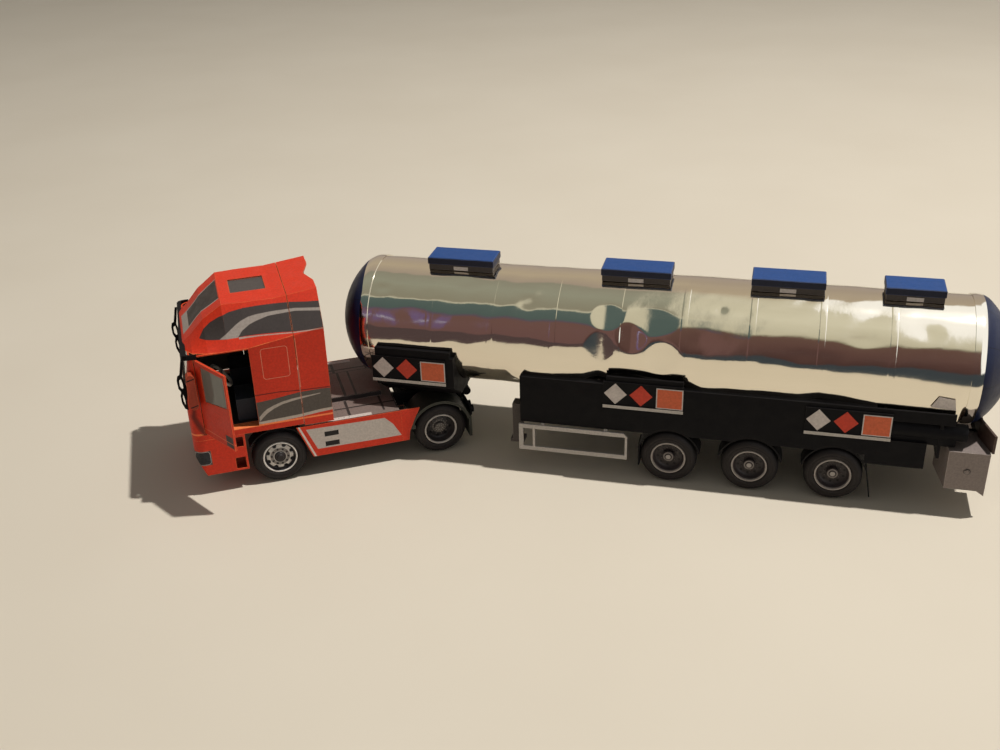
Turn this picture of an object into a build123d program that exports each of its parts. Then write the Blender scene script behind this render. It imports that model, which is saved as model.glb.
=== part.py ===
from build123d import *
import math
import os

# Card model of an articulated tanker lorry at about 1:32, in millimetres.
# The trailer lies along X with its front towards +X, Y is its left and Z is up.
# While it is being built the kingpin stands at x = y = 0 and the floor is z = 0.
# The tractor is drawn in line with the trailer and then turned about the kingpin.

# Card, fits and what the wheels share
card = 1.2
thin_card = 0.6
panel_gap = 0.3
shaft_gap = 0.05
seat_gap = 0.1
lap = 1.0
quarters = (0.0, 0.25, 0.5, 0.75, 1.0)
tyre_radius = 15.6
rim_radius = 9.7
axle_radius = 1.5
hub_radius = 3.2
hub_length = 3.0
rim_lip = 0.4
rim_wall = 0.8
tread_shoulder = 2.4
tyre_bead = 1.1

# Tank
tank_radius = 34.4
tank_bottom_z = 39.0
tank_z = tank_bottom_z + tank_radius
tank_front_x = 21.8
tank_length = 330.4
tank_rear_x = tank_front_x - tank_length
cap_depth = 20.7
cap_knuckle = 10.0
cap_rim = 3.0
cap_card = 0.5
seam_count = 8
seam_first_back = 41.4
seam_pitch = 0.10563 * tank_length
seam_width = 1.4
seam_height = 0.25
tank_cut_radius = tank_radius + seam_height + shaft_gap

# Trailer axles, set from the rear end of the tank
trailer_axles = 3
axle_pitch = 44.3
axle_last_x = tank_rear_x + 64.6
axle_first_x = axle_last_x + (trailer_axles - 1) * axle_pitch

# Hatch boxes on top of the tank: share of the tank's length ahead of the middle, length
hatch_rows = [(0.1598, 38.5), (0.4619, 38.5), (0.7076, 38.5), (0.9019, 30.0)]
hatch_width = 16.0
hatch_rise = 2.8
hatch_base_z = tank_z + tank_radius + hatch_rise
lid_height = 4.0
lid_overhang = 0.5
lid_chamfer = 0.5

# Side boards, and the outer faces that are set from them
board_clear = 1.8
board_face_y = tank_radius + board_clear + card
guard_face_y = board_face_y + 1.6
cabinet_face_y = board_face_y + 1.5
trailer_face_y = board_face_y + 0.8
board_front_x = -71.0
board_top_z = 58.5
board_skirt_z = 30.0
board_flange = 3.5
board_tab_x = (axle_first_x + 35.4, axle_first_x - 6.6)
board_tab_rise = 5.0
board_rear_gap = 1.0
board_slot_length = 39.0
board_slot_bottom_z = 40.2
board_slot_height = 11.8
board_tail_z = 24.8
board_tail_length = 30.0
board_tail_lap = 2.0

# Rear cabinets and the board across the tail
cabinet_front_x = tank_rear_x + 8.3
cabinet_splay = 3.5
cabinet_length = 20.2
cabinet_bottom_z = 15.5
cabinet_top_z = 38.0
cabinet_toe = 2.7
cabinet_toe_length = 4.0
knob_radius = 1.4
knob_height = 0.8
tail_board_x = tank_rear_x - 7.4
tail_board_sweep = 5.0
tail_board_inset = 1.4
tail_board_middle = 20.0
tail_board_height = 10.3

# Bolster under the nose of the tank, coupling plate and kingpin
bolster_front_x = 14.0
bolster_length = 46.5
bolster_rear_x = bolster_front_x - bolster_length
bolster_floor = 1.0
bolster_bottom_z = tank_bottom_z - bolster_floor
bolster_chine = 8.5
bolster_top_z = 69.0
bolster_step = 3.6
bolster_step_x = -30.5
coupler_half_width = 24.0
coupler_card = 1.4
coupler_lip = 3.0
kingpin_radius = 1.6
kingpin_length = 5.0
kingpin_head_radius = 2.6
kingpin_head = 0.8
coupling_gap = 0.3

# Landing legs, drawn up clear of the floor
leg_x = -68.2
leg_width = 5.0
leg_depth = 7.0
leg_y = board_face_y - 6.4
leg_top_z = 39.0
leg_bottom_z = 16.0
foot_card = 2.0
foot_spread = 1.5

# Sub-frame and its saddles
frame_front_x = leg_x - leg_width / 2
frame_rear_x = cabinet_front_x - 18.0
rail_y = 12.0
rail_width = 3.0
rail_bottom_z = 30.0
rail_top_z = tank_bottom_z - bolster_floor
saddle_card = 1.6
saddle_bottom_z = 31.5
saddle_tail_back = 6.0
saddle_top_z = board_top_z - card

# Trailer wheels, their hangers and mudguards
trailer_tyre_width = 12.0
trailer_dish = 4.6
hanger_card = 3.0
hanger_length = 11.0
hanger_drop = 3.6
guard_arc_inner = 17.0
guard_arc_card = 0.8
guard_arc_start = 15.0
guard_arc_end = 165.0
flap_card = 0.8
flap_rake = 3.6
front_flap_z = 8.0
rear_flap_z = 3.0
arch_radius = guard_arc_inner + guard_arc_card + shaft_gap

# Sign boards on both sides: centre x, height of the ledge below them
sign_rows = [(-6.0, 48.2), (axle_first_x + 15.0, 44.6), (axle_last_x - 4.6, 40.1)]
sign_length = 44.0
sign_height = 14.0
sign_card = 0.8
ledge_height = 2.0
ledge_depth = 1.2

# Hose tubes at the rear
hose_radius = 4.6
hose_inset = 0.2
hose_y = board_face_y - hose_radius - hose_inset
hose_z = board_slot_bottom_z + board_slot_height / 2
hose_length = 43.0
hose_rear_x = cabinet_front_x - 8.0
hose_front_x = hose_rear_x + hose_length
hose_end_radius = 3.4
hose_end_depth = 1.0

# Side guards ahead of the trailer wheels
guard_front_x = -70.4
guard_rear_x = axle_first_x + 23.0
guard_bottom_z = 12.5
guard_top_z = 29.0
guard_bar = 2.4
guard_edge = 1.2
guard_corner = 2.2
guard_post_back = 8.6
guard_stay_shares = (0.22, 0.8)
guard_stay = 2.0

# Tractor in its own straight-ahead frame, turned about the kingpin
tractor_turn = 31.0
half_width = 38.9
rear_axle_x = -1.8
wheelbase = 94.4
front_axle_x = rear_axle_x + wheelbase
wheel_inset = 0.5
wheel_face_y = half_width - wheel_inset
front_tyre_width = 9.6
front_dish = 2.6
twin_tyre_width = 8.4
twin_gap = 1.6
twin_dish = 5.4
chassis_rear_x = -21.0
chassis_front_x = 126.0
chassis_y = 10.5
chassis_width = 3.0
chassis_bottom_z = 22.5
chassis_top_z = 30.5
cab_block_back = 5.0
cab_block_length = 6.0
carrier_card = 3.0
carrier_length = 10.0

# Fifth wheel and the ramps behind it
fifth_top_z = bolster_bottom_z - coupler_card - coupling_gap
fifth_card = 1.6
fifth_length = 36.0
fifth_half_width = 17.0
fifth_throat_half = kingpin_radius + 0.12
fifth_mouth_half = 5.5
fifth_stand = 8.0
ramp_front_x = -11.0
ramp_slope = 4.0
ramp_width = 8.5
ramp_toe = 1.0

# Outline of the coupling plate: share of its length ahead of the pin, share of its half width
fifth_rows = [(0.35, 0.7), (0.2, 1.0), (-0.25, 1.0), (-0.5, 0.35)]

# Deck behind the cab and the skirts at its sides
deck_rear_x = 22.0
deck_top_z = 33.0
catwalk_half_width = 16.0
catwalk_rise = 3.0
catwalk_back = 6.0
deck_notch = 10.0
skirt_bottom_z = 12.7
skirt_front_x = 74.0
skirt_rear_x = 17.6
skirt_lean = 7.7
skirt_depth = 9.0

# Wings, lamps and air tanks of the tractor
wing_inner = 17.2
wing_card = 1.6
wing_width = 19.5
wing_flap_z = 8.0
wing_start = 12.0
wing_end = 165.0
wing_stay_z = 19.2
wing_stay = 2.2
front_wing_inner = 18.0
front_wing_width = 9.0
front_wing_start = 30.0
lamp_bar_half = 34.0
lamp_bar_bottom_z = 19.4
lamp_bar_height = 5.0
lamp_radius = 2.2
lamp_depth = 1.6
lamp_rows = (30.5, 24.5)
air_tank_radius = 2.5
air_tank_half = 18.0

# Cab: lower body, roof and rear fairing
cab_wall_x = 77.0
cab_front_x = 138.6
cab_corner = 5.0
cab_bottom_z = 35.0
cab_floor_z = 38.6
cab_waist_z = 60.0
cab_fold_z = 86.5
cab_fold_bend_x = 101.7
cab_fold_slope = 0.149
cab_waist_lift = 0.2
screen_rake = 5.1
roof_z = 108.0
roof_half = 25.5
roof_front_x = 112.0
roof_nose = 3.2
roof_wall_push = 1.6
roof_wall_side = 1.2
roof_rise_x = 84.0
roof_rise_slope = 0.11
fairing_rear_x = 60.2
fairing_bottom_z = 34.2
fairing_notch = 17.0
fairing_notch_depth = 4.0
roof_hatch_front_x = 106.0
roof_hatch_length = 19.5
roof_hatch_half = 10.0

# Roof stations ahead of the bend in the fold line: share of the way from the end of
# the flat roof to the nose, share of the height, inset at the fold, inset on top
roof_rows = [
    (0.0, 1.0, 0.0, 1.0),
    (0.46, 0.65, 0.7, 2.5),
    (0.8, 0.25, 3.3, 3.5),
    (1.0, 0.05, 11.0, 5.5),
]

# Doors, windscreen and grille
door_front_x = 131.2
door_rear_x = 101.7
door_header = 0.6
door_open = 61.0
door_upper_gap = 1.3
door_lower_gap = 0.8
window_front_inset = 5.4
window_rear_inset = 1.8
window_top_inset = 2.2
window_sill_z = 61.0
window_sill_rise = 3.2
glass_card = 0.4
screen_post = 5.0
screen_bottom_z = 62.0
screen_header = 1.5
grille_half = 24.0
grille_bottom_z = 40.0
grille_bar = 1.6
grille_slots = 5

# Visor, its mirror arms and the mirrors
visor_bottom_z = cab_fold_z - door_header - door_upper_gap + panel_gap
visor_height = 2.9
visor_front_x = 137.4
visor_corner = 3.0
visor_side = 0.6
visor_rear_x = 128.9
arm_y = 35.7
arm_card = 1.2
mirror_rear_x = 131.9
mirror_depth = 4.4
mirror_low_z = 57.0
mirror_top_z = 77.8
mirror_slope = 0.7
mirror_round = 1.4

# Mirror arm outline from the visor down to the front of the cab, then back up: x, z
arm_rows = [
    (137.3, visor_bottom_z + seat_gap),
    (139.3, 75.8),
    (140.6, 75.0),
    (141.2, 72.6),
    (141.0, 68.2),
    (139.9, 65.7),
    (140.6, 63.2),
    (140.5, 59.2),
    (139.3, 55.4),
    (136.4, 53.6),
    (136.4, 66.5),
    (138.0, 74.6),
    (136.0, visor_bottom_z + seat_gap),
]
# The two open loops in each mirror arm: x, z
arm_loops = [
    [(138.9, 73.6), (139.9, 72.9), (140.0, 68.8), (139.1, 67.2), (138.4, 67.6), (138.4, 70.4)],
    [(139.0, 64.2), (139.5, 62.8), (139.4, 59.6), (138.7, 57.2), (138.6, 60.5)],
]

# Bumper, steps and headlights
bumper_bottom_z = 12.4
bumper_rear_x = 110.4
bumper_cheek = 8.0
bumper_nose = 9.0
bumper_undercut = 5.0
bumper_undercut_height = 12.0
lamp_box = 12.0
step_rear_gap = 1.2
step_length = 5.6
step_depth = 6.0
step_rows = [(13.5, 20.6), (27.4, 33.6)]
headlight_bottom_z = 19.0
headlight_top_z = 28.0
headlight_length = 8.6

# Seats, dashboard and steering wheel
seat_y = 20.0
seat_width = 18.0
seat_front_x = 112.0
seat_length = 20.0
seat_height = 13.0
seat_back = 5.0
seat_back_height = 36.0
seat_lean = 1.0
dash_front_gap = 15.0
dash_top_z = 60.0
dash_height = 9.0
dash_half = 33.0
dash_slope_length = 5.0
dash_slope_height = 3.0
steering_radius = 8.0
steering_rim = 1.4
steering_x = 117.5
steering_z = 64.0
steering_tilt = 50.0
column_length = 14.0
column_radius = 0.9


def box(x, y, z):
    """Block between two limits on each axis."""
    size = [abs(b - a) for a, b in (x, y, z)]
    centre = [(a + b) / 2 for a, b in (x, y, z)]
    return Pos(*centre) * Box(*size)


def rod_x(radius, x, y, z):
    """Round bar along X."""
    return Pos((x[0] + x[1]) / 2, y, z) * Rot(0, 90, 0) * Cylinder(radius, abs(x[1] - x[0]))


def rod_y(radius, x, y, z):
    """Round bar along Y."""
    return Pos(x, (y[0] + y[1]) / 2, z) * Rot(90, 0, 0) * Cylinder(radius, abs(y[1] - y[0]))


def rod_z(radius, x, y, z):
    """Round bar along Z."""
    return Pos(x, y, (z[0] + z[1]) / 2) * Cylinder(radius, abs(z[1] - z[0]))


def sheet_xz(points, y):
    """Card cut to an outline of (x, z) points, between two values of y."""
    face = make_face(Polyline(*[(px, y[0], pz) for px, pz in points], close=True))
    return extrude(face, amount=y[1] - y[0], dir=(0, 1, 0))


def sheet_yz(points, x):
    """Card cut to an outline of (y, z) points, between two values of x."""
    face = make_face(Polyline(*[(x[0], py, pz) for py, pz in points], close=True))
    return extrude(face, amount=x[1] - x[0], dir=(1, 0, 0))


def sheet_xy(points, z):
    """Card cut to an outline of (x, y) points, between two values of z."""
    face = make_face(Polyline(*[(px, py, z[0]) for px, py in points], close=True))
    return extrude(face, amount=z[1] - z[0], dir=(0, 0, 1))


def other_side(shape):
    """The same piece on the other side of the centre plane."""
    return mirror(shape, about=Plane.XZ)


def both_sides(shape):
    """A left and a right piece that do not touch."""
    return [shape, other_side(shape)]


def through(y):
    """The span of y, a little longer at both ends, for a cut that goes right through."""
    return (y[0] - lap, y[1] + lap)


def arc_band(x, z, inner, outer, y, start, end):
    """Part of a ring about an axle, between two angles from +X towards +Z."""
    ring = rod_y(outer, x, y, z) - rod_y(inner, x, through(y), z)
    reach = 3 * outer
    corners = [math.radians(start + (end - start) * share) for share in quarters]
    outline = [(x, z)] + [(x + reach * math.cos(a), z + reach * math.sin(a)) for a in corners]
    return ring & sheet_xz(outline, through(y))


parts = {}
tank_cut = rod_x(tank_cut_radius, (tank_rear_x - cap_rim, tank_front_x + cap_rim), 0, tank_z)


def tank_barrel():
    """Rolled barrel with the overlaps of its film wraps as narrow bands."""
    barrel = rod_x(tank_radius, (tank_rear_x, tank_front_x), 0, tank_z)
    for i in range(seam_count):
        x = tank_front_x - seam_first_back - i * seam_pitch
        barrel += rod_x(tank_radius + seam_height, (x - seam_width / 2, x + seam_width / 2), 0, tank_z)
    return barrel


def tank_cap(grow=0.0):
    """Dished end: a rim that slips over the barrel, a knuckle and a crown."""
    outer = tank_radius + cap_card + grow
    depth = cap_depth + grow
    crown = (outer ** 2 - 2 * outer * cap_knuckle + depth ** 2) / (2 * (depth - cap_knuckle))
    centre_x = depth - crown
    join = math.atan2(outer - cap_knuckle, -centre_x)
    knuckle_mid = (join + math.pi / 2) / 2

    def on_knuckle(a):
        return (cap_knuckle * math.cos(a), outer - cap_knuckle + cap_knuckle * math.sin(a))

    def on_crown(a):
        return (centre_x + crown * math.cos(a), crown * math.sin(a))

    knuckle_arc = ThreePointArc((0, outer), on_knuckle(knuckle_mid), on_knuckle(join))
    crown_arc = ThreePointArc(on_knuckle(join), on_crown(join / 2), (depth, 0))
    rim = [(0, tank_radius), (-cap_rim, tank_radius), (-cap_rim, outer), (0, outer)]
    inside = Polyline((depth, 0), (0, 0), *rim)
    return revolve(make_face(Curve() + [knuckle_arc, crown_arc, inside]), Axis.X)


to_rear_cap = Pos(tank_rear_x, 0, tank_z) * Rot(0, 0, 180)
parts["tank_barrel"] = tank_barrel()
parts["tank_cap_front"] = Pos(tank_front_x, 0, tank_z) * tank_cap()
parts["tank_cap_rear"] = to_rear_cap * tank_cap()


def hatch_boxes():
    """Base and lid of each hatch box, the base cut to sit on the barrel."""
    bases, lids = [], []
    half = hatch_width / 2
    low_z = tank_z + math.sqrt(tank_radius ** 2 - half ** 2) - card
    for share, length in hatch_rows:
        front = tank_front_x - share * tank_length + length / 2
        span = (front - length, front)
        base = box((span[0] + lid_overhang, span[1] - lid_overhang), (-half, half), (low_z, hatch_base_z))
        bases.append(base - tank_cut)
        wide = half + lid_overhang
        lid = box(span, (-wide, wide), (hatch_base_z, hatch_base_z + lid_height))
        lids.append(chamfer(lid.edges().group_by(Axis.Z)[-1], lid_chamfer))
    return bases, lids


parts["hatch_bases"], parts["hatch_lids"] = hatch_boxes()


def front_bolster():
    """Box section that wraps the lower half of the tank's nose, stepped down at its rear."""
    side = board_face_y
    half = [
        (coupler_half_width, bolster_bottom_z),
        (side, bolster_bottom_z + bolster_chine),
        (side, bolster_top_z),
    ]
    outline = half + [(-y, z) for y, z in reversed(half)]
    body = sheet_yz(outline, (bolster_rear_x, bolster_front_x)) - tank_cut
    step = (bolster_top_z - bolster_step, bolster_top_z + lap)
    return body - box((bolster_rear_x - lap, bolster_step_x), through((-side, side)), step)


def coupler_plate():
    """Rubbing plate under the bolster, with an upturned front lip and a hole for the pin."""
    z = (bolster_bottom_z - coupler_card, bolster_bottom_z)
    y = (-coupler_half_width, coupler_half_width)
    plate = box((bolster_rear_x, bolster_front_x), y, z)
    lip_x = bolster_front_x + coupler_lip
    lip = [(bolster_front_x, z[0]), (lip_x, z[1]), (lip_x, z[1] + coupler_card), (bolster_front_x, z[1])]
    return plate + sheet_xz(lip, y) - rod_z(kingpin_radius, 0, 0, through(z)) - tank_cut


def kingpin():
    """Pin with a wider foot below the neck."""
    bottom = fifth_top_z - kingpin_length
    neck = rod_z(kingpin_radius, 0, 0, (bottom, bolster_bottom_z))
    return neck + rod_z(kingpin_head_radius, 0, 0, (bottom - kingpin_head, bottom))


parts["front_bolster"] = front_bolster()
parts["coupler_plate"] = coupler_plate()
parts["kingpin"] = kingpin()

axle_xs = [axle_first_x - i * axle_pitch for i in range(trailer_axles)]
board_tail_front_x = axle_xs[-1] - guard_arc_inner + board_tail_lap
board_rear_x = cabinet_front_x - board_rear_gap
board_slot_x = board_rear_x + board_slot_length
saddle_xs = [frame_front_x - saddle_card / 2, (board_front_x + axle_xs[0] + arch_radius) / 2]
saddle_xs += [(a + b) / 2 for a, b in zip(axle_xs, axle_xs[1:])]
saddle_xs.append(board_tail_front_x - saddle_card - saddle_tail_back)
saddle_xs.append(cabinet_front_x + cabinet_splay + saddle_card)


def trailer_frame():
    """Two long rails joined by a cross-piece at the rear."""
    z = (rail_bottom_z, rail_top_z)
    rail = box((frame_rear_x, frame_front_x), (rail_y, rail_y + rail_width), z)
    tail = box((frame_rear_x, frame_rear_x + saddle_card), (-rail_y, rail_y), z)
    return rail + other_side(rail) + tail


def saddle(x, frame):
    """Cross plate slotted over the rails, that reaches up to the tank and out to the side boards."""
    reach = board_face_y - card
    span = (x - saddle_card / 2, x + saddle_card / 2)
    plate = box(span, (-reach, reach), (saddle_bottom_z, saddle_top_z)) - tank_cut - frame
    for side in (1, -1):
        plate -= rod_x(hose_radius, through((hose_rear_x, hose_front_x)), side * hose_y, hose_z)
    return plate


def hanger(x, y, top_z, length):
    """Plate that narrows downwards to an axle bore."""
    low = tyre_radius - hanger_drop
    half = length / 2
    outline = [(x - half, top_z), (x + half, top_z), (x + hanger_drop, low), (x - hanger_drop, low)]
    return sheet_xz(outline, y) - rod_y(axle_radius + shaft_gap, x, through(y), tyre_radius)


def axle_hangers():
    """Hanger plates that carry the trailer axles, hung from the rails."""
    y = (rail_y + rail_width - hanger_card, rail_y + rail_width)
    return [plate for x in axle_xs for plate in both_sides(hanger(x, y, rail_bottom_z, hanger_length))]


parts["trailer_frame"] = trailer_frame()
parts["frame_saddles"] = [saddle(x, parts["trailer_frame"]) for x in saddle_xs]
parts["axle_hangers"] = axle_hangers()


def side_board():
    """Black side board: raised tab, top flange, wheel arches and a slot for the hose tube."""
    y = (board_face_y - card, board_face_y)
    slot_top_z = board_slot_bottom_z + board_slot_height
    tail_rear_x = board_tail_front_x - board_tail_length
    outline = [
        (board_front_x, board_skirt_z),
        (board_front_x, board_top_z),
        (board_tab_x[0], board_top_z),
        (board_tab_x[0], board_top_z + board_tab_rise),
        (board_tab_x[1], board_top_z + board_tab_rise),
        (board_tab_x[1], board_top_z),
        (board_rear_x, board_top_z),
        (board_rear_x, slot_top_z),
        (board_slot_x, slot_top_z),
        (board_slot_x, board_slot_bottom_z),
        (tail_rear_x, board_slot_bottom_z),
        (tail_rear_x, board_tail_z),
        (board_tail_front_x, board_tail_z),
        (board_tail_front_x, board_skirt_z),
    ]
    board = sheet_xz(outline, y)
    flange_z = (board_top_z - card, board_top_z)
    board += box((board_slot_x, board_front_x), (y[0] - board_flange, y[0]), flange_z)
    board -= tank_cut
    for x in axle_xs:
        board -= rod_y(arch_radius, x, through(y), tyre_radius)
    return board


parts["side_boards"] = both_sides(side_board())


def sign_boards():
    """Blank sign boards, each with the ledge that runs under it."""
    signs = []
    for x, z in sign_rows:
        span = (x - sign_length / 2, x + sign_length / 2)
        top_z = z + ledge_height + sign_height
        board = box(span, (board_face_y, board_face_y + sign_card), (z, top_z))
        board += box(span, (board_face_y, board_face_y + ledge_depth), (z, z + ledge_height))
        signs += both_sides(board)
    return signs


parts["sign_boards"] = sign_boards()


def hose_tube():
    """Hose carrier tube with a recessed end cap."""
    tube = rod_x(hose_radius, (hose_rear_x, hose_front_x), hose_y, hose_z)
    return tube - rod_x(hose_end_radius, (hose_rear_x - lap, hose_rear_x + hose_end_depth), hose_y, hose_z)


parts["hose_tubes"] = both_sides(hose_tube())


def side_guard():
    """Open frame of light card with one post inside and stays up to the side board."""
    y = (guard_face_y - card, guard_face_y)
    outline = [
        (guard_front_x, guard_bottom_z),
        (guard_front_x, guard_top_z),
        (guard_rear_x + guard_corner, guard_top_z),
        (guard_rear_x, guard_top_z - guard_corner),
        (guard_rear_x, guard_bottom_z),
    ]
    inside_z = (guard_bottom_z + guard_bar, guard_top_z - guard_bar)
    frame = sheet_xz(outline, y)
    frame -= box((guard_rear_x + guard_edge, guard_front_x - guard_bar), through(y), inside_z)
    post_x = guard_front_x - guard_post_back
    frame += box((post_x - guard_edge / 2, post_x + guard_edge / 2), y, inside_z)
    for share in guard_stay_shares:
        x = guard_front_x - share * (guard_front_x - guard_rear_x)
        stay_y = (board_face_y - card, y[0])
        frame += box((x - guard_stay / 2, x + guard_stay / 2), stay_y, (inside_z[1], board_skirt_z))
    return frame


def landing_leg():
    """Flat card leg with a wider foot, drawn up as for the road."""
    y = (leg_y - leg_depth / 2, leg_y + leg_depth / 2)
    half = leg_width / 2
    leg = box((leg_x - half, leg_x + half), y, (leg_bottom_z, leg_top_z))
    spread = half + foot_spread
    return leg + box((leg_x - spread, leg_x + spread), y, (leg_bottom_z - foot_card, leg_bottom_z))


parts["side_guards"] = both_sides(side_guard())
parts["landing_legs"] = both_sides(landing_leg())


def mudguard_flap(x, low_z, rake):
    """Thin flap that hangs from the end of a mudguard, its lower edge moved by the rake."""
    y = (trailer_face_y - trailer_tyre_width, board_face_y - card)
    top_z = tyre_radius + guard_arc_inner * math.sin(math.radians(guard_arc_start)) + 2 * card
    outline = [(x, top_z), (x + flap_card, top_z), (x + flap_card + rake, low_z), (x + rake, low_z)]
    return sheet_xz(outline, y)


def trailer_mudguards():
    """Arched strips over the tyres, the first and last with a flap."""
    y = (trailer_face_y - trailer_tyre_width, board_face_y)
    outer = guard_arc_inner + guard_arc_card
    arches = []
    for x in axle_xs:
        arches.append(arc_band(x, tyre_radius, guard_arc_inner, outer, y, guard_arc_start, guard_arc_end))
    arches[0] += mudguard_flap(axle_xs[0] + guard_arc_inner - flap_card, front_flap_z, 0.0)
    arches[-1] += mudguard_flap(axle_xs[-1] - guard_arc_inner, rear_flap_z, -flap_rake)
    return [side for arch in arches for side in both_sides(arch)]


parts["trailer_mudguards"] = trailer_mudguards()


def rear_cabinet():
    """Closed card cabinet with a splayed front, a round knob and a toe at its rear corner."""
    y = (rail_y + rail_width, cabinet_face_y)
    rear_x = cabinet_front_x - cabinet_length
    plan = [(cabinet_front_x, y[1]), (rear_x, y[1]), (rear_x, y[0]), (cabinet_front_x + cabinet_splay, y[0])]
    body = sheet_xy(plan, (cabinet_bottom_z, cabinet_top_z))
    toe = [
        (rear_x, cabinet_bottom_z),
        (rear_x + cabinet_toe_length, cabinet_bottom_z),
        (rear_x, cabinet_bottom_z - cabinet_toe),
    ]
    body += sheet_xz(toe, (y[1] - card, y[1]))
    knob_x = cabinet_front_x - cabinet_length / 2
    knob_z = (cabinet_bottom_z + cabinet_top_z) / 2
    return body + rod_y(knob_radius, knob_x, (y[1], y[1] + knob_height), knob_z)


def tail_board():
    """Upright board across the tail on top of the cabinets, its ends swept back."""
    half = cabinet_face_y - tail_board_inset
    back = tail_board_x - tail_board_sweep
    left = [(tail_board_x, tail_board_middle), (back, half)]
    front = [(x, -y) for x, y in reversed(left)] + left
    rear = [(x - card, y) for x, y in reversed(front)]
    board = sheet_xy(front + rear, (cabinet_top_z, cabinet_top_z + tail_board_height))
    return board - to_rear_cap * tank_cap(seat_gap)


parts["rear_cabinets"] = both_sides(rear_cabinet())
parts["tail_board"] = tail_board()


def tyre(width):
    """Tyre with chamfered shoulders about the Y axis, outer face at y = 0."""
    outline = Polyline(
        (rim_radius, -tyre_bead),
        (rim_radius + tyre_bead, 0),
        (tyre_radius - tread_shoulder, 0),
        (tyre_radius, -tread_shoulder),
        (tyre_radius, -width + tread_shoulder),
        (tyre_radius - tread_shoulder, -width),
        (rim_radius + tyre_bead, -width),
        (rim_radius, -width + tyre_bead),
        close=True,
    )
    return revolve(make_face(outline), Axis.Y)


def rim(width, dish):
    """Dished wheel disc with a lip, and a hub boss bored for the axle."""
    outline = Polyline(
        (axle_radius, -dish + hub_length),
        (hub_radius, -dish + hub_length),
        (hub_radius, -dish),
        (rim_radius - 2 * rim_wall, -dish),
        (rim_radius - rim_wall, -rim_lip),
        (rim_radius, -rim_lip),
        (rim_radius, -width + rim_lip),
        (rim_radius - rim_wall, -width + rim_lip),
        (rim_radius - 2 * rim_wall, -dish - card),
        (axle_radius, -dish - card),
        close=True,
    )
    return revolve(make_face(outline), Axis.Y)


def wheel_pair(shape, face_y, x):
    """A left wheel and its mirror image at one axle."""
    return both_sides(Pos(x, face_y, tyre_radius) * shape)


def axle(x, face_y, dish):
    """Rod that ends flush with both hub bosses."""
    reach = face_y - dish + hub_length
    return rod_y(axle_radius, x, (-reach, reach), tyre_radius)


for i, x in enumerate(axle_xs, start=1):
    parts[f"trailer_axle_{i}"] = axle(x, trailer_face_y, trailer_dish)
    parts[f"trailer_tyres_{i}"] = wheel_pair(tyre(trailer_tyre_width), trailer_face_y, x)
    parts[f"trailer_rims_{i}"] = wheel_pair(rim(trailer_tyre_width, trailer_dish), trailer_face_y, x)

tractor_parts = {}
rail_span = (chassis_y, chassis_y + chassis_width)


def chassis_frame():
    """Ladder frame with cross-pieces, and the blocks that carry the cab."""
    frame = box((chassis_rear_x, chassis_front_x), rail_span, (chassis_bottom_z, chassis_top_z))
    half = cab_block_length / 2
    for x in (cab_wall_x + cab_block_back, bumper_rear_x - cab_block_back):
        frame += box((x - half, x + half), rail_span, (chassis_top_z, cab_bottom_z))
    frame += other_side(frame)
    span = chassis_front_x - chassis_rear_x - 2 * card
    cross_z = (chassis_bottom_z + card, chassis_top_z - card)
    for share in quarters:
        x = chassis_rear_x + card + share * span
        frame += box((x - card, x + card), (-chassis_y, chassis_y), cross_z)
    return frame


def axle_carriers():
    """Spring hangers that carry the two tractor axles, hung from the rails."""
    y = (chassis_y, chassis_y + carrier_card)
    xs = (rear_axle_x, front_axle_x)
    return [plate for x in xs for plate in both_sides(hanger(x, y, chassis_bottom_z, carrier_length))]


def fifth_wheel():
    """Coupling plate with its rear throat, on a stand on the rails, and two ramps behind it."""
    z = (fifth_top_z - fifth_card, fifth_top_z)
    outline = [(along * fifth_length, across * fifth_half_width) for along, across in fifth_rows]
    plate = sheet_xy(outline + [(x, -y) for x, y in reversed(outline)], z)
    tail_x = outline[-1][0]
    mouth = [(tail_x - lap, fifth_mouth_half), (tail_x / 2, fifth_throat_half), (0, fifth_throat_half)]
    plate -= sheet_xy(mouth + [(x, -y) for x, y in reversed(mouth)], through(z))
    plate -= rod_z(kingpin_radius + shaft_gap, 0, 0, through(z))
    stand = box((rear_axle_x - fifth_stand, rear_axle_x + fifth_stand), rail_span, (chassis_top_z, z[0]))
    ramp_z = z[0] - seat_gap
    rear_x = chassis_rear_x + air_tank_radius / 2 + panel_gap
    outline = [
        (ramp_front_x, chassis_top_z),
        (ramp_front_x, ramp_z),
        (rear_x + ramp_slope, ramp_z),
        (rear_x, chassis_top_z + ramp_toe),
        (rear_x, chassis_top_z),
    ]
    ramp = sheet_xz(outline, (chassis_y, chassis_y + ramp_width))
    return [plate + stand + other_side(stand)] + both_sides(ramp)


tractor_parts["chassis_frame"] = chassis_frame()
tractor_parts["axle_carriers"] = axle_carriers()
tractor_parts["fifth_wheel"] = fifth_wheel()


def deck():
    """Printed deck behind the cab with a raised catwalk."""
    front_x = cab_wall_x - panel_gap
    side = half_width - card
    plate = box((deck_rear_x, front_x), (-side, side), (chassis_top_z, deck_top_z))
    walk_z = (deck_top_z, deck_top_z + catwalk_rise)
    walk = box((deck_rear_x + catwalk_back, front_x), (-catwalk_half_width, catwalk_half_width), walk_z)
    clear_x = (cab_wall_x - 2 * lap, cab_wall_x + deck_notch)
    clear = box(clear_x, through(rail_span), through((chassis_top_z, cab_bottom_z)))
    return plate + walk - clear - other_side(clear)


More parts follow.
